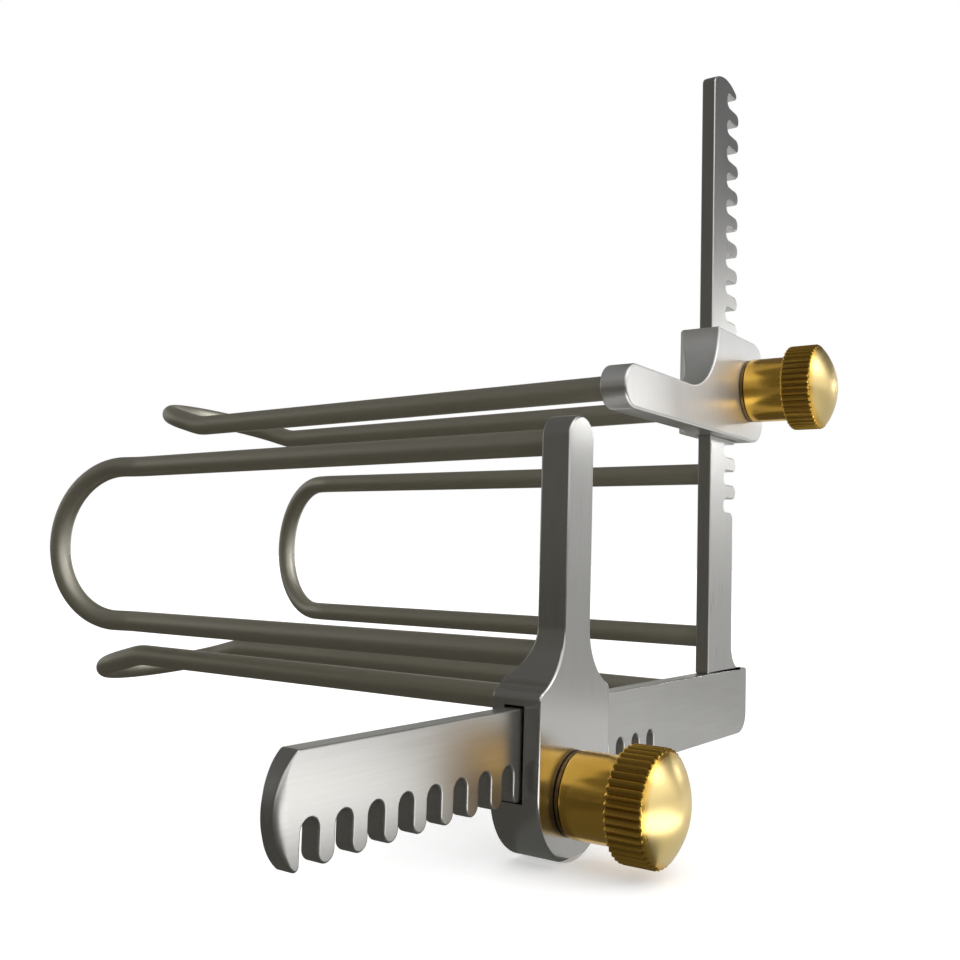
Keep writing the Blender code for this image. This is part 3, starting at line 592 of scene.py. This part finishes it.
def upper_carriage():
    """The block on the upright bar with its arm to the left, and the bar's way.

    The upper side is a chain from the block's right end over its top to the
    arm's end. The lower side has the same X at each point, so that the two
    sides are joined across the curved back.
    """
    half = HALF_CARRIAGE
    arm_z, arm_top = HALF_ARM - half, 2 * HALF_ARM - half
    fillet = min(UPPER_ARM_FILLET, half - arm_top)
    corner_x = UPPER_BLOCK_RIGHT - BLOCK_CORNER
    way_left, way_right = -HALF_UPRIGHT - BAR_CLEARANCE, OUTER_TIPS + BAR_CLEARANCE
    tip_x = UPPER_ARM_END + HALF_ARM
    side = UPPER_LEFT_CORNER
    corner = turn((corner_x, half - BLOCK_CORNER), BLOCK_CORNER, 0, 90, 14)
    middle = np.vstack([
        spot(way_right, half, 0, 1), spot(way_left, half, 0, 1),
        turn((UPPER_BLOCK_LEFT + side, half - side), side, 90, 180, 6),
        turn((UPPER_BLOCK_LEFT - fillet, arm_top + fillet), fillet, 0, -90, 28)])
    end = turn((tip_x, arm_z), HALF_ARM, 90, 180, 14)
    upper = np.vstack([corner, middle, end])
    lower = upper.copy()
    lower[:, 3] = -1.0
    lower[:, 2] = 0.0
    lower[:, 1] = -half
    lower[:len(corner)] = corner * np.array([1, -1, 1, -1])
    lower[-len(end):] = end * np.array([1, -1, 1, -1]) + np.array([0, 2 * arm_z, 0, 0])
    chain = np.vstack([upper, lower[::-1]])
    back, slope = rear_fillet(
        chain[:, 0] - (UPPER_BLOCK_LEFT + UPPER_FILLET_OVERLAP - FILLET_REACH))
    shell, ring = slab(chain, CARRIAGE_FRONT, back, CARRIAGE_ROUNDING, (0, way_left, way_right))
    ladder_back(shell, ring, len(upper), slope, (-1, 0, 0))
    for depth, way in ((WAY_FRONT, 1), (WAY_BACK, -1)):
        wall = np.array([[[way_left, depth, -half], [way_left, depth, half]],
                         [[way_right, depth, -half], [way_right, depth, half]]])
        way_wall(shell, wall, (0, way, 0), (OUTER_TIPS, 0.0))
    for x, way in ((way_left, 1), (way_right, -1)):
        wall = np.array([[[x, WAY_FRONT, -half], [x, WAY_FRONT, half]],
                         [[x, WAY_BACK, -half], [x, WAY_BACK, half]]])
        way_wall(shell, wall, (way, 0, 0), (OUTER_TIPS, 0.0))
    return shell


def moved(shell, place):
    """The same shell at another place."""
    step = np.array(place, float)
    for quads in shell.quads:
        quads += step
    shell.plates = [(ring + step, ways) for ring, ways in shell.plates]
    return shell


def loop_line(width, root):
    """Centre line, heading and sideways direction of a blade's wire.

    In (across, along, outward) coordinates: a straight run, a bend of the
    flare's angle, a half circle in the flared plane, and the same way back.
    """
    half = width / 2
    bend_start = (BAR_THICKNESS + BLADE_LENGTH - BEND_RADIUS * math.sin(FLARE)
                  - TIP_LENGTH * math.cos(FLARE))
    run = np.linspace(root, bend_start, 12)[:-1]
    angle = np.linspace(0.0, FLARE, 10)
    flat = np.concatenate([np.zeros(len(run)), angle])
    along = np.concatenate([run, bend_start + BEND_RADIUS * np.sin(angle)])
    out = np.concatenate([np.zeros(len(run)), BEND_RADIUS * (1 - np.cos(angle))])
    sideways = np.full(len(flat), half)
    forward = np.array([0.0, math.cos(FLARE), math.sin(FLARE)])
    centre = np.array([0.0, along[-1], out[-1]]) + forward * (TIP_LENGTH - half)
    t = np.linspace(0.0, math.pi, 61)
    ring = centre + half * (np.outer(np.cos(t), [1, 0, 0]) + np.outer(np.sin(t), forward))
    ring_way = np.outer(-np.sin(t), [1, 0, 0]) + np.outer(np.cos(t), forward)
    side = np.stack([sideways, along, out], 1)
    side_way = np.stack([np.zeros(len(flat)), np.cos(flat), np.sin(flat)], 1)
    side_up = np.stack([np.zeros(len(flat)), -np.sin(flat), np.cos(flat)], 1)
    mirror = np.array([-1, 1, 1])
    line = np.vstack([side, ring, (side * mirror)[::-1]])
    heading = np.vstack([side_way, ring_way, -side_way[::-1]])
    up = np.tile([0.0, -math.sin(FLARE), math.cos(FLARE)], (len(t), 1))
    return line, heading, np.vstack([side_up, up, side_up[::-1]])


def wire(width, root, place, matrix):
    """A round wire along a blade's line, as angle round it times length along it.

    The line is placed by a matrix and a step. At each point the ring is
    r (cos v N + sin v B), where N is the loop's own upward direction made
    square to the heading T, and B = T x N.
    """
    line, heading, up = loop_line(width, root)
    matrix = np.array(matrix, float)
    line, heading, up = line @ matrix.T + np.array(place), heading @ matrix.T, up @ matrix.T
    heading /= np.linalg.norm(heading, axis=1, keepdims=True)
    up -= (up * heading).sum(1, keepdims=True) * heading
    up /= np.linalg.norm(up, axis=1, keepdims=True)
    side = np.cross(heading, up)
    v = np.linspace(0.0, 2 * math.pi, 33)
    way = np.cos(v)[None, :, None] * up[:, None] + np.sin(v)[None, :, None] * side[:, None]
    length = np.concatenate([[0], np.cumsum(np.linalg.norm(np.diff(line, axis=0), axis=1))])
    flat = np.stack(np.broadcast_arrays(length[:, None], v[None] * WIRE_RADIUS), 2)
    shell = Shell()
    points = line[:, None] + WIRE_RADIUS * way
    shell.patch(points, way, flat=flat)
    shell.plate(points[0, :-1], -heading[0])
    shell.plate(points[-1, :-1], heading[-1])
    return shell


def leaning(side, across, outward):
    """Matrix of a blade: its two level directions, and its run along Y.

    Each blade leans a little sideways and up or down from its root, as the
    photograph shows, so its run is (tan a, 1, tan b).
    """
    sideways, rise = (math.tan(math.radians(a)) for a in BLADE_LEANS[side])
    return [[across[0], sideways, outward[0]], [0, 1, 0], [across[1], rise, outward[1]]]


def solder_rings(places, lean=0.0, top=math.inf):
    """Hollow fillets of solder round the wires, where they leave a flat back.

    Turned about each wire: over a quarter turn t the radius is
    r + f (1 - sin t) and the height f (1 - cos t). None of it passes the top.
    """
    t = np.linspace(0.0, math.pi / 2, 9)[:, None]
    v = np.linspace(0.0, 2 * math.pi, 41)
    radius = WIRE_RADIUS - SOLDER_OVERLAP + SOLDER_SIZE * (1 - np.sin(t))
    height = SOLDER_SIZE * (1 - np.cos(t))
    way = np.stack(np.broadcast_arrays(np.sin(t) * np.cos(v), np.cos(t), np.sin(t) * np.sin(v)), 2)
    shell = Shell()
    for x, y, z in places:
        shell.patch(np.stack(np.broadcast_arrays(
            x + radius * np.cos(v) - lean * height, y + height,
            np.minimum(z + radius * np.sin(v), top)), 2), way)
    return shell


def revolved(rows, place, steps, knurl=None):
    """A chain of (radius, depth) rows turned about a line along Y.

    The point at (i, j) is at radius rho = r(i) - w(i) k(v), where w is how
    deep the knurl bites in row i and k(v) its wave round the rim, and its
    direction leans by the wave's slope.
    """
    v = np.linspace(0.0, 2 * math.pi, steps + 1)
    radius = np.repeat(rows[:, :1], len(v), 1)
    slope = np.zeros_like(radius)
    if knurl is not None:
        wave, steepness = knurl(v)
        bite = rows[:, 4:5]
        radius = radius - bite * wave
        slope = -bite * steepness / np.maximum(radius, TINY)
    cosine, sine = np.cos(v), np.sin(v)
    points = np.stack([place[0] + radius * cosine, np.repeat(rows[:, 1:2], len(v), 1),
                       place[1] + radius * sine], 2)
    lean = rows[:, 2:3]
    way = np.stack([lean * (cosine + slope * sine), np.repeat(rows[:, 3:4], len(v), 1),
                    lean * (sine - slope * cosine)], 2)
    flat = np.stack(np.broadcast_arrays(v[None] * HEAD_RADIUS, rows[:, 1:2]), 2)
    shell = Shell()
    shell.patch(points, way, flat=flat)
    return shell


def knurl_wave(v):
    """Depth of the knurl round the rim, and its slope per radian.

    The wave is a raised cosine to a power below 1, which leaves crisp crests
    between round valleys.
    """
    base = np.clip(0.5 - 0.5 * np.cos(KNURL_COUNT * v), TINY, 1.0)
    steepness = (KNURL_POWER * base ** (KNURL_POWER - 1)
                 * 0.5 * KNURL_COUNT * np.sin(KNURL_COUNT * v))
    return base ** KNURL_POWER, np.clip(steepness, -KNURL_STEEPEST, KNURL_STEEPEST)


def knob(place):
    """The gold knob: smooth sleeve, knurled head and domed end, about a line."""
    rim = HEAD_RADIUS - CROWN_EDGE
    sphere = (rim ** 2 + DOME_HEIGHT ** 2) / (2 * DOME_HEIGHT)
    centre_y = HEAD_FRONT - DOME_HEIGHT + sphere
    dome_end = math.degrees(math.asin(rim / sphere)) - 90
    dome = turn((0.0, centre_y), sphere, -90, dome_end, 24)
    crown = turn((rim, HEAD_FRONT + CROWN_EDGE), CROWN_EDGE, dome_end, 0, 6)
    crown[:, :2] += dome[-1, :2] - crown[0, :2]
    progress = np.linspace(0, 1, len(crown))
    crown[:, 0] += (HEAD_RADIUS - crown[-1, 0]) * progress ** 2
    foot = SLEEVE_RADIUS + SLEEVE_FILLET
    rows = np.vstack([
        dome, crown,
        turn((HEAD_RADIUS - HEAD_BACK_EDGE, HEAD_BACK - HEAD_BACK_EDGE), HEAD_BACK_EDGE, 0, 90, 5),
        spot(foot, HEAD_BACK, 0, 1),
        turn((foot, HEAD_BACK + SLEEVE_FILLET), SLEEVE_FILLET, 270, 180, 5),
        turn((SLEEVE_RADIUS - SLEEVE_EDGE, SLEEVE_BACK - SLEEVE_EDGE), SLEEVE_EDGE, 0, 90, 5),
        spot(SHAFT_SIDE, SLEEVE_BACK, 0, 1)])
    bite = KNURL_DEPTH * (rows[:, 0] > HEAD_RADIUS - KNURL_DEPTH)
    bite[len(dome):len(dome) + len(crown)] = KNURL_DEPTH * progress ** KNURL_FADE_POWER
    return revolved(np.hstack([rows, bite[:, None]]), place, 8 * KNURL_COUNT, knurl_wave)


def washer(place):
    """The dark thrust washer behind a knob, with broken edges."""
    r = WASHER_EDGE
    outer, inner = WASHER_RADIUS - r, WASHER_HOLE + r
    front, back = WASHER_FRONT + r, WASHER_BACK - r
    rows = np.vstack([turn((outer, front), r, -90, 0, 4), turn((outer, back), r, 0, 90, 4),
                      turn((inner, back), r, 90, 180, 4), turn((inner, front), r, 180, 270, 4)])
    return revolved(np.vstack([rows, rows[:1]]), place, 72)


# Materials

class Finish:
    """A material with its nodes, built up one step at a time."""

    def __init__(self, name, colour, roughness, metallic=1.0):
        self.material = bpy.data.materials.new(name)
        self.material.use_nodes = True
        self.tree = self.material.node_tree
        self.shader = self.tree.nodes["Principled BSDF"]
        self.shader.inputs["Base Color"].default_value = (*colour, 1.0)
        self.shader.inputs["Roughness"].default_value = roughness
        self.shader.inputs["Metallic"].default_value = metallic

    def add(self, kind, **values):
        """A node of a kind, with sockets and settings by name."""
        node = self.tree.nodes.new(kind)
        for key, value in values.items():
            if key in node.inputs:
                node.inputs[key].default_value = value
            else:
                setattr(node, key, value)
        return node

    def link(self, source, target):
        """Join an output to an input."""
        self.tree.links.new(source, target)

    def noise(self, coordinates, stretch, detail):
        """Noise on stretched coordinates."""
        mapping = self.add("ShaderNodeMapping", Scale=stretch)
        self.link(coordinates, mapping.inputs["Vector"])
        noise = self.add("ShaderNodeTexNoise", Scale=1.0, Detail=detail, Roughness=0.55)
        self.link(mapping.outputs["Vector"], noise.inputs["Vector"])
        return noise.outputs["Fac"]

    def span(self, value, first, last, low=0.0, high=1.0):
        """A value that runs from first to last, spread between two numbers."""
        node = self.add("ShaderNodeMapRange")
        for socket, number in (("From Min", first), ("From Max", last),
                               ("To Min", low), ("To Max", high)):
            node.inputs[socket].default_value = number
        self.link(value, node.inputs["Value"])
        return node.outputs["Result"]

    def ramp(self, noise, low=0.0, high=1.0):
        """Noise, which mostly lies in 0.25..0.75, spread between two numbers."""
        return self.span(noise, 0.25, 0.75, low, high)

    def maths(self, kind, value, other=None):
        """A Math node on a linked value and a second one, which may be a number."""
        node = self.add("ShaderNodeMath", operation=kind)
        self.link(value, node.inputs[0])
        if isinstance(other, float):
            node.inputs[1].default_value = other
        elif other is not None:
            self.link(other, node.inputs[1])
        return node.outputs[0]

    def tint(self, value, colour, other):
        """A colour, plain or linked, mixed towards a plain one by a value.

        A Mix node's sockets share their names; the colours' are 6, 7 and 2.
        """
        node = self.add("ShaderNodeMix", data_type="RGBA")
        if isinstance(colour, tuple):
            node.inputs[6].default_value = (*colour, 1.0)
        else:
            self.link(colour, node.inputs[6])
        node.inputs[7].default_value = (*other, 1.0)
        self.link(value, node.inputs["Factor"])
        return node.outputs[2]

    def brush(self, amount, turned):
        """Stretch the gloss along the map's U, or across it for a turn of 0.25."""
        tangent = self.add("ShaderNodeTangent", direction_type="UV_MAP", uv_map="surface")
        self.link(tangent.outputs[0], self.shader.inputs["Tangent"])
        self.shader.inputs["Anisotropic"].default_value = amount
        self.shader.inputs["Anisotropic Rotation"].default_value = turned

    def bump(self, value, strength, distance):
        """Relief from a value, with its full height in metres."""
        node = self.add("ShaderNodeBump", Strength=strength, Distance=distance)
        self.link(value, node.inputs["Height"])
        self.link(node.outputs["Normal"], self.shader.inputs["Normal"])


def brushed_steel(name, stretch, dark, light, rough, relief, brushing=None):
    """Satin steel: fine scratches along the grain and slow cloudy stains.

    A brushed face scatters light across its scratches. Brushing is how much,
    and the turn of that direction from the map's U as a share of a full turn.
    Without it, the grain follows the piece's own map.
    """
    finish = Finish(name, light, rough[0])
    if brushing:
        finish.brush(*brushing)
    coordinates = finish.add("ShaderNodeTexCoord").outputs["Object" if brushing else "UV"]
    grain = finish.noise(coordinates, stretch, 4.0)
    cloud = finish.noise(coordinates, STEEL_CLOUDS, 2.0)
    both = finish.add("ShaderNodeMix", data_type="FLOAT", Factor=CLOUD_SHARE)
    finish.link(grain, both.inputs["A"])
    finish.link(cloud, both.inputs["B"])
    shade = both.outputs["Result"]
    finish.link(finish.tint(finish.ramp(shade), dark, light), finish.shader.inputs["Base Color"])
    finish.link(finish.ramp(shade, *rough), finish.shader.inputs["Roughness"])
    finish.bump(grain, relief, 0.00005)
    return finish.material


def gold(name, rough):
    """Gold plate: deep on the sleeve and rim, paler on the dome, brown in the knurl.
    The dome's paleness is a painted highlight, and the knurl's valleys get painted shade.

    The knob's own map gives the way round it and the depth. The knurl's
    valleys are where cos(count * angle) is low, between the rim's two ends.
    """
    finish = Finish(name, (0.88, 0.55, 0.10), rough[0])
    finish.brush(0.3, 0.25)
    coordinates = finish.add("ShaderNodeTexCoord")
    place, surface = coordinates.outputs["Object"], coordinates.outputs["UV"]
    cloud = finish.noise(place, (240.0, 240.0, 240.0), 3.0)
    fine = finish.noise(surface, (60.0, 9000.0, 1.0), 2.0)
    parts = finish.add("ShaderNodeSeparateXYZ")
    finish.link(surface, parts.inputs[0])
    turned = finish.maths("MULTIPLY", parts.outputs[0], KNURL_COUNT / (HEAD_RADIUS * MM))
    valley = finish.span(finish.maths("COSINE", turned), *VALLEY_WAVE)
    front, rear, dome = (finish.span(parts.outputs[1], first * MM, last * MM)
                         for first, last in (RIM_FRONT, RIM_BACK, DOME_FADE))
    rim = finish.maths("MULTIPLY", front, rear)
    plate = finish.tint(finish.ramp(cloud), (0.80, 0.465, 0.075), (0.90, 0.555, 0.11))
    # Painted highlight: the dome's gold is made paler
    pale = finish.tint(dome, plate, (0.93, 0.72, 0.32))
    brown = finish.tint(finish.maths("MULTIPLY", rim, RIM_BROWN), pale, (0.50, 0.29, 0.05))
    # Painted shade: the knurl's valleys are darkened towards a deep brown
    deep = finish.maths("MULTIPLY", finish.maths("MULTIPLY", rim, valley), VALLEY_PAINTED_SHADE)
    dark = finish.tint(deep, brown, (0.20, 0.11, 0.02))
    finish.link(dark, finish.shader.inputs["Base Color"])
    satin = finish.maths("ADD", finish.ramp(fine, *rough),
                         finish.maths("MULTIPLY", dome, DOME_ROUGHER))
    finish.link(satin, finish.shader.inputs["Roughness"])
    finish.bump(fine, 0.012, 0.00002)
    return finish.material


def plain_metal(name, dark, light, rough):
    """Machined metal with a fine even grain, for the small inner pieces."""
    finish = Finish(name, light, rough[0])
    coordinates = finish.add("ShaderNodeTexCoord").outputs["Object"]
    grain = finish.noise(coordinates, (2500.0, 500.0, 2500.0), 3.0)
    finish.link(finish.tint(finish.ramp(grain), dark, light), finish.shader.inputs["Base Color"])
    finish.link(finish.ramp(grain, *rough), finish.shader.inputs["Roughness"])
    finish.bump(grain, 0.06, 0.00004)
    return finish.material


# Each steel: grain, darker and lighter colour, roughness, relief, brushing
LEVEL_STEEL = brushed_steel("level_bar_steel", (90.0, 1500.0, 3400.0), (0.50, 0.495, 0.48),
                            (0.60, 0.595, 0.58), (0.30, 0.36), 0.025, (0.2, 0.25))
UPRIGHT_STEEL = brushed_steel("upright_bar_steel", (3400.0, 1500.0, 90.0), (0.50, 0.495, 0.48),
                              (0.60, 0.595, 0.58), (0.26, 0.32), 0.025, (0.7, 0.25))
CARRIAGE_STEEL = brushed_steel("carriage_steel", (3600.0, 1500.0, 260.0), (0.54, 0.535, 0.52),
                               (0.59, 0.585, 0.57), (0.20, 0.25), 0.009, (0.5, 0.0))
# The upper carriage: the same satin steel as the left one, painted much lighter as painted light on
# its face
ARM_STEEL_PAINTED_LIGHT = brushed_steel("arm_steel_painted_light", (3600.0, 1500.0, 260.0), (0.80, 0.80, 0.79),
                          (0.86, 0.86, 0.85), (0.36, 0.42), 0.010, (0.9, 0.0))
WIRE_STEEL = brushed_steel("wire_steel", (300.0, 3600.0, 1.0), (0.57, 0.545, 0.46),
                           (0.64, 0.615, 0.52), (0.44, 0.52), 0.02)
GOLD = gold("gold_plate", (0.17, 0.24))
WASHER_METAL = plain_metal("oiled_bronze", (0.16, 0.10, 0.04), (0.30, 0.19, 0.07), (0.3, 0.42))
BRONZE = plain_metal("bearing_bronze", (0.42, 0.27, 0.13), (0.58, 0.40, 0.21), (0.32, 0.45))
BRIGHT_STEEL = plain_metal("ground_steel", (0.52, 0.52, 0.51), (0.66, 0.66, 0.65), (0.18, 0.28))
DARK_STEEL = plain_metal("spring_steel", (0.07, 0.07, 0.075), (0.15, 0.15, 0.16), (0.35, 0.5))


# The pieces of the object

def fixed_frame():
    """The two racks and the two blades brazed to them."""
    level = level_rack_chain()
    piece("level_bar", flat_plate(level, 0.0, BAR_THICKNESS, *level_rounding(level)),
          LEVEL_STEEL, "frame", "satin_steel", "horizontal_rack")
    piece("upright_bar", flat_plate(upright_rack_chain(), 0.0, BAR_THICKNESS, UPRIGHT_ROUNDING),
          UPRIGHT_STEEL, "frame", "satin_steel", "vertical_rack")
    half = SIDE_BLADE_WIDTH / 2
    piece("right_wire", wire(SIDE_BLADE_WIDTH, BAR_THICKNESS - BAR_SEAT,
                             (-RIGHT_BLADE_SHIFT, 0.0, SIDE_BLADE_HEIGHT),
                             leaning("right", (0, 1), (1, 0))),
          WIRE_STEEL, "frame", "wire_steel", "right_blade")
    near = LEFT_PLACE + HALF_CARRIAGE + LOWER_BLADE_CLEARANCE + WIRE_RADIUS
    middle = near + LEVEL_BLADE_WIDTH / 2
    lean = -math.tan(math.radians(BLADE_LEANS["lower"][0]))
    height = HALF_BAR - WIRE_RADIUS
    piece("lower_wire", wire(LEVEL_BLADE_WIDTH, BAR_THICKNESS - BAR_SEAT, (middle, 0.0, height),
                             leaning("lower", (-1, 0), (0, -1))),
          WIRE_STEEL, "frame", "wire_steel", "lower_blade")
    back = BAR_THICKNESS - SOLDER_SINK
    piece("right_solder", solder_rings([(-RIGHT_BLADE_SHIFT, back, SIDE_BLADE_HEIGHT - half),
                                        (-RIGHT_BLADE_SHIFT, back, SIDE_BLADE_HEIGHT + half)]),
          WIRE_STEEL, "frame", "wire_steel")
    start = middle - lean * back
    piece("lower_solder", solder_rings([(start - LEVEL_BLADE_WIDTH / 2, back, height),
                                        (start + LEVEL_BLADE_WIDTH / 2, back, height)], lean,
                                       HALF_BAR - SOLDER_OVERLAP),
          WIRE_STEEL, "frame", "wire_steel")


def knob_set(side, place):
    """The knob and washer of one carriage, about its pinion's line."""
    piece(side + "_gold_knob", knob(place), GOLD, side + "_pinion", "gold_plate", side + "_knob")
    piece(side + "_washer", washer(place), WASHER_METAL, side + "_slider", "dark_steel",
          side + "_thrust_washer")


def left_slide():
    """The carriage on the level bar with its blade."""
    piece("left_block", moved(left_carriage(), (LEFT_PLACE, 0, 0)), CARRIAGE_STEEL,
          "left_slider", "satin_steel", "left_carriage")
    piece("left_wire", wire(SIDE_BLADE_WIDTH, ARM_BACK - ARM_SEAT,
                            (LEFT_PLACE, 0.0, SIDE_BLADE_HEIGHT),
                            leaning("left", (0, 1), (-1, 0))),
          WIRE_STEEL, "left_slider", "wire_steel", "left_blade")
    piece("left_solder", solder_rings([
        (LEFT_PLACE, ARM_BACK - SOLDER_SINK, SIDE_BLADE_HEIGHT + SIDE_BLADE_WIDTH / 2)]),
          WIRE_STEEL, "left_slider", "wire_steel")
    knob_set("left", (LEFT_PLACE, -HALF_BAR))


def upper_slide():
    """The carriage on the upright bar with its blade."""
    # Its lighter steel is painted light
    piece("upper_block", moved(upper_carriage(), (0, 0, UPPER_PLACE)), ARM_STEEL_PAINTED_LIGHT,
          "upper_slider", "satin_steel", "upper_carriage")
    middle = UPPER_ARM_END + HALF_ARM + LEVEL_BLADE_WIDTH / 2
    height = UPPER_PLACE - HALF_CARRIAGE + HALF_ARM
    piece("upper_wire", wire(LEVEL_BLADE_WIDTH, ARM_BACK - ARM_SEAT, (middle, 0.0, height),
                             leaning("upper", (-1, 0), (0, 1))),
          WIRE_STEEL, "upper_slider", "wire_steel", "upper_blade")
    piece("upper_solder", solder_rings([
        (middle - LEVEL_BLADE_WIDTH / 2, ARM_BACK - SOLDER_SINK, height)]),
          WIRE_STEEL, "upper_slider", "wire_steel")
    knob_set("upper", (OUTER_TIPS, UPPER_PLACE))


fixed_frame()
left_slide()
upper_slide()
for side in ("left", "upper"):
    for end, material in (("_bush", BRONZE), ("_pinion_shaft", BRIGHT_STEEL),
                          ("_pinion_cheek", BRIGHT_STEEL), ("_pinion_pin_1", BRIGHT_STEEL),
                          ("_pinion_pin_2", BRIGHT_STEEL), ("_retaining_ring", DARK_STEEL)):
        mesh = NODES[side + end].data
        mesh.materials.clear()
        mesh.materials.append(material)


# Camera, floor and light

def photo_camera():
    """The camera of the photograph: heading, then roll about it."""
    yaw, pitch, roll = (math.radians(a) for a in (CAMERA_YAW, CAMERA_PITCH, CAMERA_ROLL))
    ahead = Vector((math.sin(yaw) * math.cos(pitch), math.cos(yaw) * math.cos(pitch),
                    math.sin(pitch)))
    level = Vector((math.cos(yaw), -math.sin(yaw), 0.0))
    upward = level.cross(ahead)
    right = math.cos(roll) * level + math.sin(roll) * upward
    up = -math.sin(roll) * level + math.cos(roll) * upward
    data = bpy.data.cameras.new("photo_camera")
    data.sensor_width = SENSOR
    data.lens = FOCAL_LENGTH / PICTURE * SENSOR
    data.shift_x = (PICTURE / 2 - OPTICAL_CENTRE[0]) / PICTURE
    data.shift_y = (OPTICAL_CENTRE[1] - PICTURE / 2) / PICTURE
    data.clip_start, data.clip_end = 0.01, 50.0
    camera = bpy.data.objects.new("photo_camera", data)
    place = Matrix((right, up, -ahead)).transposed().to_4x4()
    place.translation = Vector(CAMERA_PLACE) * MM
    camera.matrix_world = place
    bpy.context.scene.collection.objects.link(camera)
    bpy.context.scene.camera = camera


def stage_face(name, points, outward, finish):
    """One flat matt face of the studio, which isn't part of the object."""
    shell = Shell()
    shell.patch(points, np.broadcast_to(np.array(outward, float), points.shape))
    made = bpy.data.objects.new(name, shell.mesh(name))
    bpy.context.scene.collection.objects.link(made)
    finish.shader.inputs["Specular IOR Level"].default_value = 0.0
    made.data.materials.append(finish.material)
    return made


def floor():
    """A plain white floor whose own glow keeps it pale to the camera."""
    finish = Finish("floor_paint", (0.93, 0.93, 0.93), 0.9, 0.0)
    path = finish.add("ShaderNodeLightPath").outputs
    seen = finish.maths("MAXIMUM", path["Is Camera Ray"], path["Is Glossy Ray"])
    seen = finish.maths("MAXIMUM", seen, path["Is Transmission Ray"])
    glow = finish.maths("MULTIPLY", seen, FLOOR_GLOW)
    finish.shader.inputs["Emission Color"].default_value = (1, 1, 1, 1)
    finish.link(glow, finish.shader.inputs["Emission Strength"])
    u = np.array([-FLOOR_REACH, FLOOR_REACH])
    points = np.stack(np.broadcast_arrays(u[:, None], u[None], GROUND - FLOOR_GAP), 2)
    stage_face("floor", points, (0, 0, 1), finish)


def glow_card(name, low, high, shade):
    """A card between two corners, in mm, that only shows in reflections.

    It glows with its shade as a painted reflection of light or shade; it is no lamp and lights
    nothing.
    """
    low, high = np.array(low, float), np.array(high, float)
    thin = int(np.argmin(np.abs(high - low)))
    first, second = [axis for axis in range(3) if axis != thin]
    points = np.tile(low, (2, 2, 1))
    points[1, :, first] = high[first]
    points[:, 1, second] = high[second]
    finish = Finish(name + "_paint", (0.0, 0.0, 0.0), 1.0, 0.0)
    finish.shader.inputs["Emission Color"].default_value = (*shade, 1.0)
    finish.shader.inputs["Emission Strength"].default_value = 1.0
    made = stage_face(name, points, np.eye(3)[thin], finish)
    made.visible_camera = False
    made.visible_diffuse = False
    made.visible_shadow = False


def cards():
    """The cards that the metal mirrors, in mm, with the glow of each: painted reflections of the
    room's light and shade, dark or bright, that light nothing.

    First the room's walls and roof, then patches that lie just above the floor.
    """
    side, back, top, base = ROOM_SIDE, ROOM_BACK, ROOM_TOP, GROUND
    for name, low, high, shade in (
            ("left_card", (-side, -side, base), (-side, back, top), (0.125, 0.12, 0.105)),
            ("roof_card", (-side, -500, top), (side, back, top), (0.14, 0.138, 0.13)),
            ("far_card", (-side, back, base), (side, back, top), (0.40, 0.40, 0.39)),
            ("back_card", (side, 290, base), (side, back, top), (0.62, 0.62, 0.60)),
            ("right_card", (side, -side, base), (side, 290, 780), (0.55, 0.55, 0.545)),
            ("right_top_card", (side, -side, 780), (side, 290, side), (0.11, 0.11, 0.115)),
            # A painted highlight: this card glows like a lamp in the metal's reflections but lights
            # nothing
            ("bright_card", (2300, -1210, 370), (2300, -790, 480), (11.2, 11.2, 11.1)),
            ("front_card", (-side, -side, base), (side, -side, 160), (0.35, 0.35, 0.34))):
        glow_card(name, low, high, shade)
    # Floor patches of painted shade and painted light, each placed for the reflections of chosen
    # faces
    for name, left, near, right, far, shade in (
            ("behind", -side, 3, 100, back, (0.09, 0.085, 0.075)),
            ("far", 100, 3, side, back, (0.66, 0.66, 0.64)),
            ("foot", -20, -24, 65, 3, (0.6, 0.6, 0.59)),
            ("right", 65, -side, side, 3, (0.47, 0.47, 0.46)),
            ("near", -28, -side, 65, -24, (0.8, 0.8, 0.79)),
            ("left", -side, -side, -78, 3, (0.09, 0.085, 0.075)),
            ("front", -78, -side, -28, -75, (0.35, 0.35, 0.34)),
            ("beside", -78, -24, -48.5, 3, (0.12, 0.12, 0.11)),
            ("under", -48.5, -24, -20, 3, (0.55, 0.55, 0.53)),
            ("bright", -78, -75, -28, -24, (2.6, 2.6, 2.56))):
        glow_card("floor_card_" + name, (left, near, base + CARD_GAP), (right, far, base + CARD_GAP),
             shade)


def softbox(name, place, target, size, power):
    """A rectangular lamp that faces a target."""
    data = bpy.data.lights.new(name, "AREA")
    data.shape = "RECTANGLE"
    data.size, data.size_y = size
    data.energy = power
    lamp = bpy.data.objects.new(name, data)
    lamp.location = place
    lamp.rotation_euler = (Vector(target) - Vector(place)).to_track_quat("-Z", "Y").to_euler()
    bpy.context.scene.collection.objects.link(lamp)


def world():
    """A plain white room."""
    made = bpy.data.worlds.new("studio")
    made.use_nodes = True
    made.node_tree.nodes["Background"].inputs["Color"].default_value = (1, 1, 1, 1)
    made.node_tree.nodes["Background"].inputs["Strength"].default_value = 1.0
    bpy.context.scene.world = made


photo_camera()
floor()
world()
cards()
softbox("front_softbox", place=(0.38, -1.05, 0.72), target=(0.0, 0.0, 0.03), size=(0.5, 0.5),
        power=2.0)
bpy.context.scene.view_settings.view_transform = "Standard"
